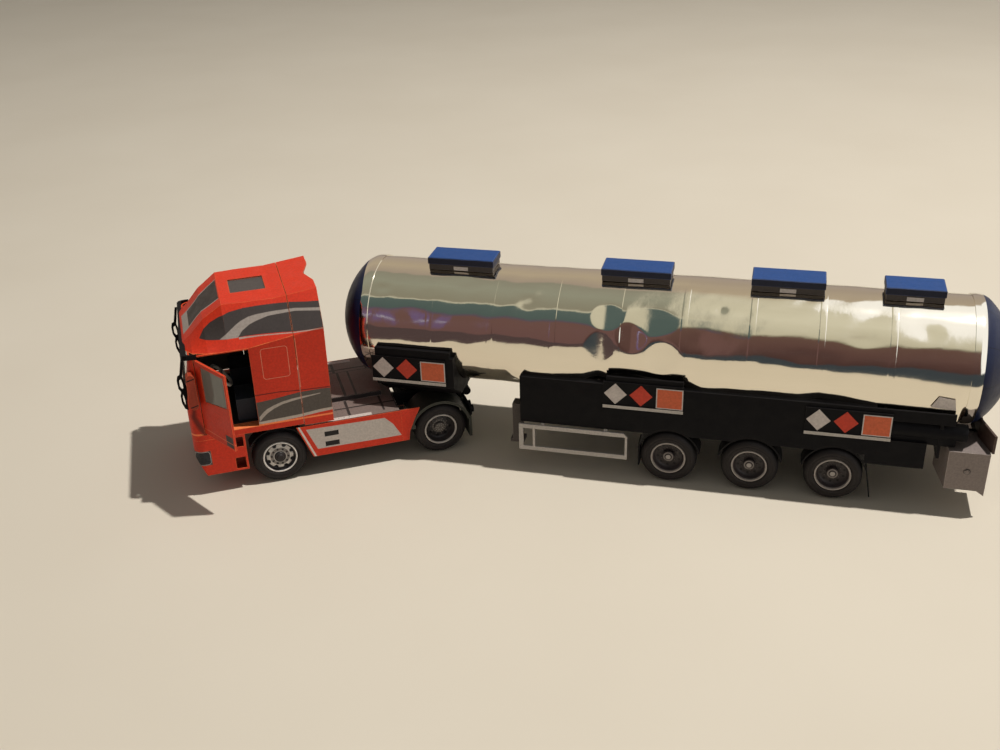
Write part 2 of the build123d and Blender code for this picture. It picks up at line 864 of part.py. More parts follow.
def side_skirt():
    """Skirt of folded card: leaning front edge, floor and inner wall up to the deck."""
    outline = [
        (skirt_front_x, skirt_bottom_z),
        (skirt_front_x + skirt_lean, deck_top_z),
        (skirt_rear_x, deck_top_z),
        (skirt_rear_x, skirt_bottom_z),
    ]
    panel = sheet_xz(outline, (half_width - card, half_width))
    inner_y = half_width - card - skirt_depth
    span = (skirt_rear_x, skirt_front_x)
    floor = box(span, (inner_y, half_width - card), (skirt_bottom_z, skirt_bottom_z + card))
    wall = box(span, (inner_y - card, inner_y), (skirt_bottom_z, chassis_top_z))
    return panel + floor + wall


def rear_wing():
    """Mudguard over the twin tyres with its stays and a flap hanging behind."""
    y = (half_width - wing_width, half_width)
    outer = wing_inner + wing_card
    wing = arc_band(rear_axle_x, tyre_radius, wing_inner, outer, y, wing_start, wing_end)
    flap_x = rear_axle_x - outer
    front_x = rear_axle_x + wing_inner * math.cos(math.radians(wing_start)) - wing_card
    wing += box((flap_x, flap_x + wing_card), y, (wing_flap_z, wing_stay_z + wing_stay))
    wing += box((front_x, front_x + wing_card), y, (wing_stay_z, wing_stay_z + wing_stay))
    for x in (flap_x, front_x):
        wing += box((x, x + wing_card), (rail_span[1], y[0]), (wing_stay_z, chassis_bottom_z + wing_card))
    return wing


def front_wing():
    """Narrow mudguard over a front tyre, hung from the underside of the cab."""
    outer_y = half_width - card - panel_gap
    y = (outer_y - front_wing_width, outer_y)
    outer = front_wing_inner + thin_card
    end = 180 - front_wing_start
    wing = arc_band(front_axle_x, tyre_radius, front_wing_inner, outer, y, front_wing_start, end)
    half = carrier_length / 2
    hanger_z = tyre_radius + math.sqrt(front_wing_inner ** 2 - half ** 2)
    block = box((front_axle_x - half, front_axle_x + half), y, (hanger_z, cab_bottom_z))
    return wing + (block - rod_y(front_wing_inner, front_axle_x, through(y), tyre_radius))


def lamp_bar():
    """Bar under the tail of the frame with two round lamps at each end."""
    x = (chassis_rear_x - card, chassis_rear_x)
    z = (lamp_bar_bottom_z, lamp_bar_bottom_z + lamp_bar_height)
    bar = box(x, (-lamp_bar_half, lamp_bar_half), z)
    for y in lamp_rows:
        for side in (1, -1):
            bar += rod_x(lamp_radius, (x[0] - lamp_depth, x[0]), side * y, (z[0] + z[1]) / 2)
    return bar


def air_tanks():
    """Two round air tanks across the tail of the frame, one above the other."""
    y = (-air_tank_half, air_tank_half)
    low_z = lamp_bar_bottom_z + lamp_bar_height + seat_gap + air_tank_radius
    high_z = chassis_top_z + air_tank_radius - seat_gap
    low = rod_y(air_tank_radius, chassis_rear_x - air_tank_radius - seat_gap, y, low_z)
    high = rod_y(air_tank_radius, chassis_rear_x - air_tank_radius / 2, y, high_z)
    return [low, high]


tractor_parts["deck"] = deck()
tractor_parts["side_skirts"] = both_sides(side_skirt())
tractor_parts["rear_wings"] = both_sides(rear_wing())
tractor_parts["front_wings"] = both_sides(front_wing())
tractor_parts["lamp_bar"] = lamp_bar()
tractor_parts["air_tanks"] = air_tanks()


def fold_z(x):
    """Height of the fold between side and roof, rising behind the door."""
    return cab_fold_z + max(0.0, cab_fold_bend_x - x) * cab_fold_slope


def roof_top_z(x):
    """Height of the roof, rising to a lip at the rear."""
    return roof_z + max(0.0, roof_rise_x - x) * roof_rise_slope


def cab_outer(grow, top=0.0):
    """Outside of the lower cab up to the fold, drawn in by a wall when grow is negative."""
    screen_x = cab_front_x - screen_rake
    lift = grow * cab_waist_lift
    outline = [
        (cab_wall_x - grow, cab_bottom_z - grow),
        (cab_front_x + grow, cab_bottom_z - grow),
        (cab_front_x + grow, cab_waist_z + lift),
        (screen_x + grow, cab_fold_z + top),
        (cab_fold_bend_x, cab_fold_z + top),
        (cab_wall_x - grow, fold_z(cab_wall_x) + top),
    ]
    side = half_width + grow
    body = sheet_xz(outline, (-side, side))

    def at_front_corner(edge):
        middle = edge.center()
        tall = edge.bounding_box().size.Z > cab_corner
        return tall and middle.X > screen_x - card and abs(middle.Y) > side - lap

    return fillet(body.edges().filter_by(at_front_corner), cab_corner + grow)


def screen_x_at(z):
    """X of the raked front face at a height above the waist."""
    return cab_front_x - screen_rake * (z - cab_waist_z) / (cab_fold_z - cab_waist_z)


def cab_body():
    """Hollow lower cab, open at the top, with door openings, windscreen and grille cut."""
    side = half_width
    above_floor = box((cab_wall_x, cab_front_x + lap), (-side, side), (cab_floor_z, roof_z))
    body = cab_outer(0) - (cab_outer(-card, 2 * card) & above_floor)
    door_z = (cab_floor_z, cab_fold_z - door_header)
    doorway = box((door_rear_x, door_front_x), (side - 1.5 * card, side + lap), door_z)
    body = body - doorway - other_side(doorway)
    screen = half_width - screen_post
    screen_x = (screen_x_at(cab_fold_z) - 2 * card, cab_front_x + lap)
    body -= box(screen_x, (-screen, screen), (screen_bottom_z, cab_fold_z - screen_header))
    for i in range(grille_slots):
        z = grille_bottom_z + 2 * i * grille_bar
        slot_x = (cab_front_x - thin_card, cab_front_x + lap)
        body -= box(slot_x, (-grille_half, grille_half), (z, z + grille_bar))
    return body


def roof_face(x, low_half, low_z, top_half, top_z):
    """Cross-section of the roof at one station."""
    corners = [(-low_half, low_z), (low_half, low_z), (top_half, top_z), (-top_half, top_z)]
    return make_face(Polyline(*[(x, y, z) for y, z in corners], close=True))


def roof_hull(inset):
    """Roof as straight-sided sections from the cab's back wall to the nose."""
    nose_x = cab_front_x - roof_nose
    rows = [(x, half_width, roof_half, roof_top_z(x), 0.0) for x in (roof_rise_x, cab_fold_bend_x)]
    rows.insert(0, (cab_wall_x + inset, half_width, roof_half, roof_top_z(cab_wall_x), 0.0))
    for run, rise, low_inset, top_inset in roof_rows:
        x = roof_front_x + run * (nose_x - roof_front_x)
        top_z = cab_fold_z + rise * (roof_z - cab_fold_z)
        rows.append((x, half_width - low_inset, roof_half - top_inset, top_z, roof_wall_push))
    faces = []
    for x, low_half, top_half, top_z, push in rows:
        low = (low_half - roof_wall_side * inset, fold_z(x) - inset)
        faces.append(roof_face(x - push * inset, *low, top_half - inset, top_z - inset))
    return loft(faces, ruled=True)


def cab_roof():
    """High roof folded from card, open below, with a sunk hatch."""
    roof = roof_hull(0) - roof_hull(card)
    x = (roof_hatch_front_x - roof_hatch_length, roof_hatch_front_x)
    return roof - box(x, (-roof_hatch_half, roof_hatch_half), (roof_z - thin_card, roof_z + lap))


def rear_fairing():
    """Fairing behind the cab: two side panels and a roof strip, open at the rear."""
    front_x = cab_wall_x - panel_gap
    outer, inner = [], []
    for x in (fairing_rear_x, front_x):
        for faces, inset in ((outer, 0.0), (inner, card)):
            reach = lap if inset else 0.0
            x_cut = x + (reach if x == front_x else -reach)
            side = half_width - inset
            points = [
                (side, fairing_bottom_z - reach),
                (side, fold_z(x) - inset * 0.4),
                (roof_half - inset * 0.6, roof_top_z(x) - inset),
            ]
            points += [(-y, z) for y, z in reversed(points)]
            faces.append(make_face(Polyline(*[(x_cut, y, z) for y, z in points], close=True)))
    shell = loft(outer, ruled=True) - loft(inner, ruled=True)
    behind = fairing_rear_x - lap
    notch = [(behind, -fairing_notch), (fairing_rear_x + fairing_notch_depth, 0), (behind, fairing_notch)]
    return shell - sheet_xy(notch, (cab_fold_z, 2 * roof_z))


tractor_parts["cab_body"] = cab_body()
tractor_parts["cab_roof"] = cab_roof()
tractor_parts["rear_fairing"] = rear_fairing()


def windscreen():
    """Clear film in the windscreen opening."""
    low, high = screen_bottom_z, cab_fold_z - screen_header
    outline = []
    for z, depth in ((low, card), (low, card - glass_card), (high, card - glass_card), (high, card)):
        outline.append((screen_x_at(z) - depth, z))
    screen = half_width - screen_post
    return sheet_xz(outline, (-screen, screen))


def sun_visor():
    """Black visor of two cards that wraps round both upper corners of the cab."""
    side = half_width + visor_side
    left = [
        (visor_front_x, side - visor_corner),
        (visor_front_x - visor_corner, side),
        (visor_rear_x, side),
    ]
    outline = left + [(x, -y) for x, y in reversed(left)]
    block = sheet_xy(outline, (visor_bottom_z, visor_bottom_z + visor_height))
    return block - cab_outer(0) - roof_hull(0)


def mirror_arm():
    """Flat arm with two open loops, from under the visor down to the front of the cab."""
    y = (arm_y, arm_y + arm_card)
    arm = sheet_xz(arm_rows, y)
    for loop in arm_loops:
        arm -= sheet_xz(loop, through(y))
    return arm - cab_outer(0) - tractor_parts["sun_visor"]


def side_mirror():
    """Mirror case glued to the corner of the cab ahead of the door, its ends rounded."""
    front_x = mirror_rear_x + mirror_depth
    outline = [
        (mirror_rear_x, mirror_low_z + mirror_round),
        (mirror_rear_x, mirror_top_z - mirror_round),
        (mirror_rear_x + mirror_round, mirror_top_z),
        (front_x - mirror_round, mirror_top_z),
        (front_x, mirror_top_z - mirror_round),
        (front_x + mirror_slope, mirror_low_z + 2 * mirror_round),
        (front_x, mirror_low_z + mirror_round),
        (front_x - mirror_round, mirror_low_z),
        (mirror_rear_x + mirror_round, mirror_low_z),
    ]
    case = sheet_xz(outline, (arm_y + arm_card + panel_gap, half_width + mirror_depth))
    return case - cab_outer(0)


tractor_parts["windscreen"] = windscreen()
tractor_parts["sun_visor"] = sun_visor()
tractor_parts["mirror_arms"] = both_sides(mirror_arm())
tractor_parts["mirrors"] = both_sides(side_mirror())


def bumper_block():
    """Outside of the bumper with rounded front corners, cut back under its chin."""
    block = box((bumper_rear_x, cab_front_x), (-half_width, half_width), (bumper_bottom_z, cab_bottom_z))
    block = fillet(block.edges().filter_by(Axis.Z).group_by(Axis.X)[-1], cab_corner)
    chin_z = bumper_bottom_z + bumper_undercut_height
    chin = [
        (cab_front_x, chin_z),
        (cab_front_x - bumper_undercut, bumper_bottom_z),
        (cab_front_x - bumper_undercut, bumper_bottom_z - lap),
        (cab_front_x + lap, bumper_bottom_z - lap),
        (cab_front_x + lap, chin_z),
    ]
    return block - sheet_xz(chin, through((-half_width, half_width)))


def lamp_corner():
    """Space of the left headlight."""
    inner_y = half_width - lamp_box + card
    x = (cab_front_x - headlight_length, cab_front_x + lap)
    return box(x, (inner_y, half_width + lap), (headlight_bottom_z, headlight_top_z))


def front_bumper():
    """Bumper of folded card with two steps in each cheek and corners cut for the headlights."""
    body = bumper_block()
    z = (bumper_bottom_z - lap, cab_bottom_z - card)
    cheek = half_width - bumper_cheek
    nose_x = cab_front_x - bumper_nose
    body -= box((bumper_rear_x - lap, nose_x), (-cheek, cheek), z)
    lamp_y = half_width - lamp_box
    wall_x = cab_front_x - card
    hollow = [
        (nose_x - lap, z[0]),
        (wall_x - bumper_undercut, z[0]),
        (wall_x - bumper_undercut, bumper_bottom_z),
        (wall_x, bumper_bottom_z + bumper_undercut_height),
        (wall_x, z[1]),
        (nose_x - lap, z[1]),
    ]
    body -= sheet_xz(hollow, (-lamp_y, lamp_y))
    step_x = (bumper_rear_x + step_rear_gap, bumper_rear_x + step_rear_gap + step_length)
    for step_z in step_rows:
        step = box(step_x, (half_width - step_depth, half_width + lap), step_z)
        body = body - step - other_side(step)
    return body - lamp_corner() - other_side(lamp_corner())


def headlight():
    """Headlight that wraps round the corner of the bumper."""
    return bumper_block() & lamp_corner()


tractor_parts["front_bumper"] = front_bumper()
tractor_parts["headlights"] = both_sides(headlight())


def seat():
    """Seat with an upright back, on the cab floor."""
    y = (seat_y - seat_width / 2, seat_y + seat_width / 2)
    top_z = cab_floor_z + seat_height
    rear_x = seat_front_x - seat_length
    outline = [
        (seat_front_x, cab_floor_z),
        (seat_front_x, top_z),
        (rear_x + seat_back, top_z),
        (rear_x + seat_back - seat_lean, cab_floor_z + seat_back_height),
        (rear_x - seat_lean, cab_floor_z + seat_back_height),
        (rear_x, cab_floor_z),
    ]
    return sheet_xz(outline, y)


def dashboard():
    """Dashboard block on the front wall, with a sloped face."""
    wall_x = cab_front_x - card
    rear_x = wall_x - dash_front_gap
    low_z = dash_top_z - dash_height
    outline = [
        (wall_x, low_z),
        (wall_x, dash_top_z),
        (rear_x + dash_slope_length, dash_top_z),
        (rear_x, dash_top_z - dash_slope_height),
        (rear_x, low_z),
    ]
    return sheet_xz(outline, (-dash_half, dash_half)) & cab_outer(-card)


def steering_wheel():
    """Ring with one spoke bar on a column that ends at the dashboard."""
    inner = steering_radius - steering_rim
    ring = Cylinder(steering_radius, steering_rim) - Cylinder(inner, 2 * steering_rim)
    ring += Box(steering_rim, inner + steering_radius, steering_rim)
    ring += Pos(0, 0, -column_length / 2) * Cylinder(column_radius, column_length)
    return Pos(steering_x, seat_y, steering_z) * Rot(0, -steering_tilt, 0) * ring - tractor_parts["dashboard"]


tractor_parts["seats"] = both_sides(seat())
tractor_parts["dashboard"] = dashboard()
tractor_parts["steering_wheel"] = steering_wheel()

hinge_x = door_front_x - panel_gap
hinge_y = half_width
door_z = (cab_floor_z + door_lower_gap, cab_fold_z - door_header - door_upper_gap)
door_x = (door_rear_x + panel_gap, hinge_x)
window_outline = [
    (door_x[1] - window_front_inset, window_sill_z),
    (door_x[0] + window_rear_inset, window_sill_z + window_sill_rise),
    (door_x[0] + window_rear_inset, door_z[1] - window_top_inset),
    (door_x[1] - window_front_inset, door_z[1] - window_top_inset),
]


def door_panel():
    """Whole door as one card panel with its window cut, hinged at its front edge."""
    y = (half_width - card, half_width)
    return box(door_x, y, door_z) - sheet_xz(window_outline, through(y))


def door_window():
    """Clear film in the door window."""
    middle = half_width - card / 2
    return sheet_xz(window_outline, (middle - glass_card / 2, middle + glass_card / 2))


swing = Pos(hinge_x, hinge_y, 0) * Rot(0, 0, -door_open) * Pos(-hinge_x, -hinge_y, 0)
tractor_parts["door_left"] = swing * door_panel()
tractor_parts["door_left_window"] = swing * door_window()
tractor_parts["door_right"] = other_side(door_panel())
tractor_parts["door_right_window"] = other_side(door_window())

inner_twin_y = wheel_face_y - twin_tyre_width - twin_gap
twin_width = 2 * twin_tyre_width + twin_gap
tractor_parts["front_axle"] = axle(front_axle_x, wheel_face_y, front_dish)
tractor_parts["front_tyres"] = wheel_pair(tyre(front_tyre_width), wheel_face_y, front_axle_x)
tractor_parts["front_rims"] = wheel_pair(rim(front_tyre_width, front_dish), wheel_face_y, front_axle_x)
tractor_parts["rear_axle"] = axle(rear_axle_x, wheel_face_y, twin_dish)
tractor_parts["rear_tyres"] = wheel_pair(tyre(twin_tyre_width), wheel_face_y, rear_axle_x)
tractor_parts["rear_tyres"] += wheel_pair(tyre(twin_tyre_width), inner_twin_y, rear_axle_x)
tractor_parts["rear_rims"] = wheel_pair(rim(twin_width, twin_dish), wheel_face_y, rear_axle_x)

turn = Rot(0, 0, tractor_turn)
for name, shape in tractor_parts.items():
    parts[name] = [turn * s for s in shape] if isinstance(shape, list) else turn * shape


def solids_of(shape):
    """All solids of a piece, whether it is one shape or a list of them."""
    pieces = shape if isinstance(shape, list) else [shape]
    return [solid for piece in pieces for solid in piece.solids()]


whole = Compound(children=[solid for shape in parts.values() for solid in solids_of(shape)])
limits = whole.bounding_box()
shift = Pos(-(limits.min.X + limits.max.X) / 2, -(limits.min.Y + limits.max.Y) / 2, 0)

os.makedirs("parts", exist_ok=True)
for name, shape in parts.items():
    solids = [shift * solid for solid in solids_of(shape)]
    export_step(Compound(children=solids) if len(solids) > 1 else solids[0], f"parts/{name}.step")
    print(name, len(solids))
print("moved by", shift.position)
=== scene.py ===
import math

import bmesh
import bpy
import numpy as np
from mathutils import Matrix, Vector


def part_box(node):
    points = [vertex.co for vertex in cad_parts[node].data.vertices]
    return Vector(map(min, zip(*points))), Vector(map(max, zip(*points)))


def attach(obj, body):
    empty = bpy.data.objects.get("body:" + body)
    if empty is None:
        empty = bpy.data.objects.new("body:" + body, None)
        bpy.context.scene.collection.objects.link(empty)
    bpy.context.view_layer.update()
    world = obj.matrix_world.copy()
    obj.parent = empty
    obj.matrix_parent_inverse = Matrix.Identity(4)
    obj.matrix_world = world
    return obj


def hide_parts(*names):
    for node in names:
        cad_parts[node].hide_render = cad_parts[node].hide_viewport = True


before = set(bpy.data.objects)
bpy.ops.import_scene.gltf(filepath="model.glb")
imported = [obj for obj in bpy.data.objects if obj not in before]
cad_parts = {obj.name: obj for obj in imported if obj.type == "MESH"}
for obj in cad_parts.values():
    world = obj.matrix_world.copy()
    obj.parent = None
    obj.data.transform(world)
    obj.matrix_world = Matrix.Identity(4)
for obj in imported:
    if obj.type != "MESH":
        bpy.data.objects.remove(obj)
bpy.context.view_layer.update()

# ---- The room ----
# A hand-made card lorry stands on a pale table top, with one lamp high up behind it.
# The walls round it are warm brown low down, teal above towards the front and pale towards the
# ceiling, with a bright window at the rear, and only the mirror film of the tank shows them.


def tone(code):
    """An sRGB hex colour as the linear values that shaders use."""
    parts = np.array([int(code[i:i + 2], 16) for i in (1, 3, 5)]) / 255
    linear = np.where(parts <= 0.04045, parts / 12.92, ((parts + 0.055) / 1.055) ** 2.4)
    return (*linear, 1.0)


def add(tree, kind, inputs=None, **settings):
    """Adds a node, whose kind is its type's name after ShaderNode, with its settings. An input is a
    value, another node's output, or another node for the first output that it has in use."""
    made = tree.nodes.new("ShaderNode" + kind)
    for key, value in settings.items():
        setattr(made, key, value)
    for key, value in (inputs or {}).items():
        if isinstance(value, bpy.types.Node):
            value = next(socket for socket in value.outputs if socket.enabled)
        if isinstance(value, bpy.types.NodeSocket):
            tree.links.new(value, made.inputs[key])
        else:
            made.inputs[key].default_value = value
    return made


def bare_material(name):
    """A material with nothing in its tree yet."""
    material = bpy.data.materials.new(name)
    material.use_nodes = True
    material.node_tree.nodes.clear()
    return material, material.node_tree


world = bpy.data.worlds.new("room")
bpy.context.scene.world = world
world.use_nodes = True
room = world.node_tree
room.nodes.clear()
toward = add(room, "SeparateXYZ", {0: add(room, "TexCoord").outputs["Generated"]}).outputs
rise = add(room, "Math", {0: toward[2], 1: toward[1]}, operation="ARCTAN2")
share = add(room, "MapRange", {"Value": rise, "From Max": math.pi})
front_wall = add(room, "ValToRGB", {0: share})
rear_wall = add(room, "ValToRGB", {0: share})
wall_bands = [
    (front_wall, [(0.0, "#694e4d"), (0.165, "#6b504c"), (0.182, "#5a4f5f"), (0.2, "#4e5d5c"), (0.31, "#556463"),
                  (0.318, "#c8c5b2"), (0.334, "#8a8778"), (0.5, "#929486"), (0.615, "#8d8c7f"),
                  (0.63, "#a3978b"), (0.76, "#b3a692"), (1.0, "#9f938b")]),
    (rear_wall, [(0.0, "#4a3533"), (0.1, "#5d4541"), (0.2, "#654e47"), (0.212, "#8d8776"), (0.23, "#c3beaa"),
                 (0.4, "#d3cfbc"), (0.6, "#c8c3b0"), (0.66, "#b3a692"), (1.0, "#9f938b")]),
]
for ramp, bands in wall_bands:
    stops = ramp.color_ramp.elements
    for height, code in bands[1:-1]:
        stops.new(height).color = tone(code)
    stops[0].color = tone(bands[0][1])
    stops[len(stops) - 1].color = tone(bands[-1][1])
end = add(room, "MapRange", {"Value": toward[0], "From Min": 0.05, "From Max": 0.1})
walls = add(room, "Mix", {0: end, 6: rear_wall, 7: front_wall}, data_type="RGBA")
# The window lies between two sloping lines, each given by its angles at X -0.06 and at -0.15.
window = add(room, "MapRange", {"Value": toward[0], "From Min": -0.02, "From Max": -0.07})
for angle_low, angle_high, sign in ((93.0, 61.0, 1), (121.0, 131.0, -1)):
    sill = add(room, "MapRange", {"Value": toward[0], "From Min": -0.06, "From Max": -0.15,
                                  "To Min": math.radians(angle_low), "To Max": math.radians(angle_high)},
               clamp=False)
    past = add(room, "Math", {0: rise, 1: sill}, operation="SUBTRACT")
    inside = add(room, "MapRange", {"Value": past, "From Min": -0.03 * sign, "From Max": 0.03 * sign})
    window = add(room, "Math", {0: window, 1: inside}, operation="MULTIPLY")
walls = add(room, "Mix", {0: window, 6: walls, 7: tone("#ffffff")}, data_type="RGBA")
# Glows low at the front, as (place along X, half width, half height, colour, strength): a violet
# haze and the two white sparks in it.
glow_rise = 0.32
for x_way, half_x, half_rise, code, most in (
    (0.335, 0.035, 0.3, "#6a62a8", 0.45), (0.348, 0.0035, 0.07, "#f0f4ff", 1.0),
    (0.323, 0.003, 0.06, "#dfe6ff", 0.85),
):
    beside = add(room, "Math", {0: toward[0], 1: 1 / half_x, 2: -x_way / half_x}, operation="MULTIPLY_ADD")
    above = add(room, "Math", {0: rise, 1: 1 / half_rise, 2: -glow_rise / half_rise}, operation="MULTIPLY_ADD")
    off = add(room, "CombineXYZ", {0: beside, 1: above})
    far = add(room, "VectorMath", {0: off}, operation="LENGTH")
    glow = add(room, "MapRange", {"Value": far, "From Min": 1.0, "From Max": 0.4, "To Max": most})
    walls = add(room, "Mix", {0: glow, 6: walls, 7: tone(code)}, data_type="RGBA")
# Only glossy rays see the walls. The lorry is lit by the lamp and a weak even light, and stands
# before a pale backdrop.
rays = add(room, "LightPath")
plain = add(room, "Background", {"Color": tone("#d9d6d0"), "Strength": 0.28})
room_glare = 1.15
seen = add(room, "Background", {"Color": walls, "Strength": room_glare})
mixed = add(room, "MixShader", {0: rays.outputs["Is Glossy Ray"], 1: plain, 2: seen})
pale = add(room, "Background", {"Color": tone("#d9d0bf"), "Strength": 0.9})
direct = add(room, "Math", {0: rays.outputs["Is Camera Ray"], 1: rays.outputs["Is Transmission Ray"]},
             operation="MAXIMUM")
backdrop = add(room, "MixShader", {0: direct, 1: mixed, 2: pale})
add(room, "OutputWorld", {0: backdrop})

# A small warm disc, high up: its shadows have hard edges.
lamp = bpy.data.lights.new("lamp", "AREA")
lamp.shape = "DISK"
lamp.size = 0.06
lamp.energy = 50.0
lamp.color = (1.0, 0.96, 0.9)
lamp_stand = bpy.data.objects.new("lamp", lamp)
lamp_stand.location = (-0.782, -0.23, 2.2)
lamp_stand.rotation_euler = (Vector((0.0, 0.0, 0.04)) - lamp_stand.location).to_track_quat("-Z", "Y").to_euler()
bpy.context.collection.objects.link(lamp_stand)

pin_low, pin_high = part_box("kingpin")
pin_x = (pin_low.x + pin_high.x) / 2
pin_y = (pin_low.y + pin_high.y) / 2

# Matt paper: it scatters the light evenly, with faint blotches a hand wide. In the film's mirror the
# sheet ends `depth` half metres to the left of the kingpin; past it the table glows with a dark
# carpet's colour for glossy rays only, a painted reflection.
table_cloth, tree = bare_material("pale_paper_sheet")
place = add(tree, "TexCoord").outputs["Object"]
blotch = add(tree, "TexNoise", {"Vector": place, "Scale": 6.0, "Detail": 3.0})
paper = add(tree, "Mix", {0: blotch, 6: tone("#d5ccbc"), 7: tone("#ddd5c6")}, data_type="RGBA")
surface = add(tree, "BsdfPrincipled", {"Base Color": paper, "Roughness": 0.85, "Specular IOR Level": 0.15})
along, out = add(tree, "SeparateXYZ", {0: place}).outputs[:2]
length = add(tree, "MapRange", {"Value": along, "From Min": pin_x - 0.33, "From Max": pin_x + 0.045})
limit = add(tree, "ValToRGB", {0: length})
for k, (at, depth) in enumerate(((0.0, 0.39), (1.0, 0.33), (0.18, 0.64), (0.84, 0.94), (0.91, 0.52))):
    stop = limit.color_ramp.elements[k] if k < 2 else limit.color_ramp.elements.new(at)
    stop.color = (depth, depth, depth, 1.0)
sheet_edge = add(tree, "Math", {0: limit, 1: 0.5, 2: pin_y}, operation="MULTIPLY_ADD")
past = add(tree, "Math", {0: out, 1: sheet_edge}, operation="SUBTRACT")
beyond = add(tree, "MapRange", {"Value": past, "From Max": 0.015})
toward_front = add(tree, "MapRange", {"Value": along, "From Min": pin_x - 0.14, "From Max": pin_x - 0.05})
carpet = add(tree, "Mix", {0: toward_front, 6: tone("#3b4248"), 7: tone("#4f4142")}, data_type="RGBA")
carpet_glow_reflection = add(tree, "Emission", {"Color": carpet, "Strength": room_glare})
rays = add(tree, "LightPath")
mirrored = add(tree, "Math", {0: rays.outputs["Is Glossy Ray"], 1: beyond}, operation="MULTIPLY")
ground = add(tree, "MixShader", {0: mirrored, 1: surface, 2: carpet_glow_reflection})
add(tree, "OutputMaterial", {0: ground})
table = bpy.data.meshes.new("table")
table.from_pydata([(-6, -6, 0), (6, -6, 0), (6, 6, 0), (-6, 6, 0)], [], [(0, 1, 2, 3)])
table.materials.append(table_cloth)
table = bpy.data.objects.new("table", table)
bpy.context.collection.objects.link(table)

# ---- The camera ----
# It looks down on the left side of the lorry from behind its cab, as the photograph does.
# Its place and angles are measured from the kingpin, which holds the tractor to the trailer.

yaw, pitch, roll = 0.2632, 0.4778, -0.0338
focal_length, picture_width = 1125.71, 1000
eye = (pin_x - 0.20574, pin_y + 0.57880, 0.34865)
ahead = Vector((math.sin(yaw) * math.cos(pitch), -math.cos(yaw) * math.cos(pitch), -math.sin(pitch)))
level = ahead.cross(Vector((0, 0, 1))).normalized()
upright = level.cross(ahead)
right = math.cos(roll) * level + math.sin(roll) * upright
up = math.cos(roll) * upright - math.sin(roll) * level
camera = bpy.data.cameras.new("camera")
camera.sensor_width = 36.0
camera.lens = camera.sensor_width * focal_length / picture_width
camera.clip_start = 0.01
stand = bpy.data.objects.new("camera", camera)
stand.matrix_world = Matrix([(right[k], up[k], -ahead[k], eye[k]) for k in range(3)] + [(0, 0, 0, 1)])
bpy.context.collection.objects.link(stand)
bpy.context.scene.camera = stand
bpy.context.scene.view_settings.view_transform = "Standard"

# ---- Mirror film round the tank ----
# Polyester film, aluminised to a mirror, wrapped round a card barrel in nine strips.
# The strips overlap in narrow bands, and handling has buckled the film into dents.

# A spot is (x, y, turn) on the table, in metres and radians. Sizes are in millimetres from a spot:
# X runs forward, Y to the left and Z up from the table. The trailer's spot is the kingpin.
trailer = (pin_x, pin_y, 0.0)


def in_row(points, spot):
    """Points in millimetres from a spot as metres on the table: turned, then moved."""
    x0, y0, turn = spot
    p = np.asarray(points, float) * 0.001
    c, s = math.cos(turn), math.sin(turn)
    return np.stack([x0 + c * p[..., 0] - s * p[..., 1], y0 + s * p[..., 0] + c * p[..., 1], p[..., 2]], -1)


def skin(name, body, spot, sheets, material, smooth=False, values=None):
    """A mesh of several grids of points. Each sheet is (points, closed over rows, closed over columns),
    and joins every point to its neighbours in its row and column. Points that meet are made one."""
    corners, faces, start = [], [], 0
    for points, round_rows, round_columns in sheets:
        rows, columns = points.shape[:2]
        i = np.arange(rows if round_rows else rows - 1)[:, None]
        j = np.arange(columns if round_columns else columns - 1)[None, :]
        i2, j2 = (i + 1) % rows, (j + 1) % columns
        quad = np.stack([i * columns + j, i2 * columns + j, i2 * columns + j2, i * columns + j2], -1)
        faces.append(start + quad.reshape(-1, 4))
        corners.append(in_row(points.reshape(-1, 3), spot))
        start += rows * columns
    mesh = bpy.data.meshes.new(name)
    mesh.from_pydata(np.concatenate(corners).tolist(), [], np.concatenate(faces).tolist())
    for key, arrays in (values or {}).items():
        flat = np.concatenate([np.asarray(a, float).reshape(-1, 3) for a in arrays])
        mesh.attributes.new(key, "FLOAT_VECTOR", "POINT").data.foreach_set("vector", flat.ravel())
    work = bmesh.new()
    work.from_mesh(mesh)
    bmesh.ops.remove_doubles(work, verts=work.verts, dist=2e-6)
    work.to_mesh(mesh)
    work.free()
    mesh.polygons.foreach_set("use_smooth", np.full(len(mesh.polygons), smooth))
    mesh.materials.append(material)
    made = bpy.data.objects.new(name, mesh)
    bpy.context.collection.objects.link(made)
    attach(made, body)
    return made


tank_radius, tank_z = 34.4, 73.4
film_front, film_rear = 21.8, -308.6
seams = -17.5 - 35.6 * np.arange(8)
half_lap = 1.75
# Facets and dents as (place along X, angle above the left side in degrees, half length, half width),
# and for a dent its depth. The skirt gives (place along X, share of the straight hang).
facets = [
    (-115.5, 7.8, 8.0, 15.8), (-132.5, 20.8, 8.2, 14.8), (-149.3, 3.9, 9.9, 15.9), (-118.5, 37.9, 8.5, 12.5),
    (-141.9, 35.6, 14.0, 13.2), (-62.0, 148.0, 13.0, 14.0), (-192.0, 163.0, 12.0, 14.0),
    (-143.0, 173.0, 10.0, 15.0),
]
dents = [
    (-168.0, 22.0, 12.0, 12.0, 0.6), (-98.0, 20.0, 14.0, 10.0, 0.35), (-73.0, 44.0, 7.0, 9.0, 0.35),
    (-76.0, 55.0, 6.0, 8.0, -0.2), (-15.0, 47.0, 9.0, 6.0, 0.12), (4.0, 55.0, 8.0, 7.0, -0.15),
    (12.0, 50.0, 6.0, 6.0, 0.5), (-178.0, 52.0, 3.0, 4.0, 0.3), (-226.0, 16.0, 16.0, 9.0, 0.45),
    (-283.0, 44.0, 8.0, 9.0, 0.5), (-252.0, 34.0, 14.0, 8.0, 0.4), (-36.0, 62.0, 9.0, 8.0, 0.4),
    (-6.0, 25.0, 10.0, 9.0, 0.4),
]
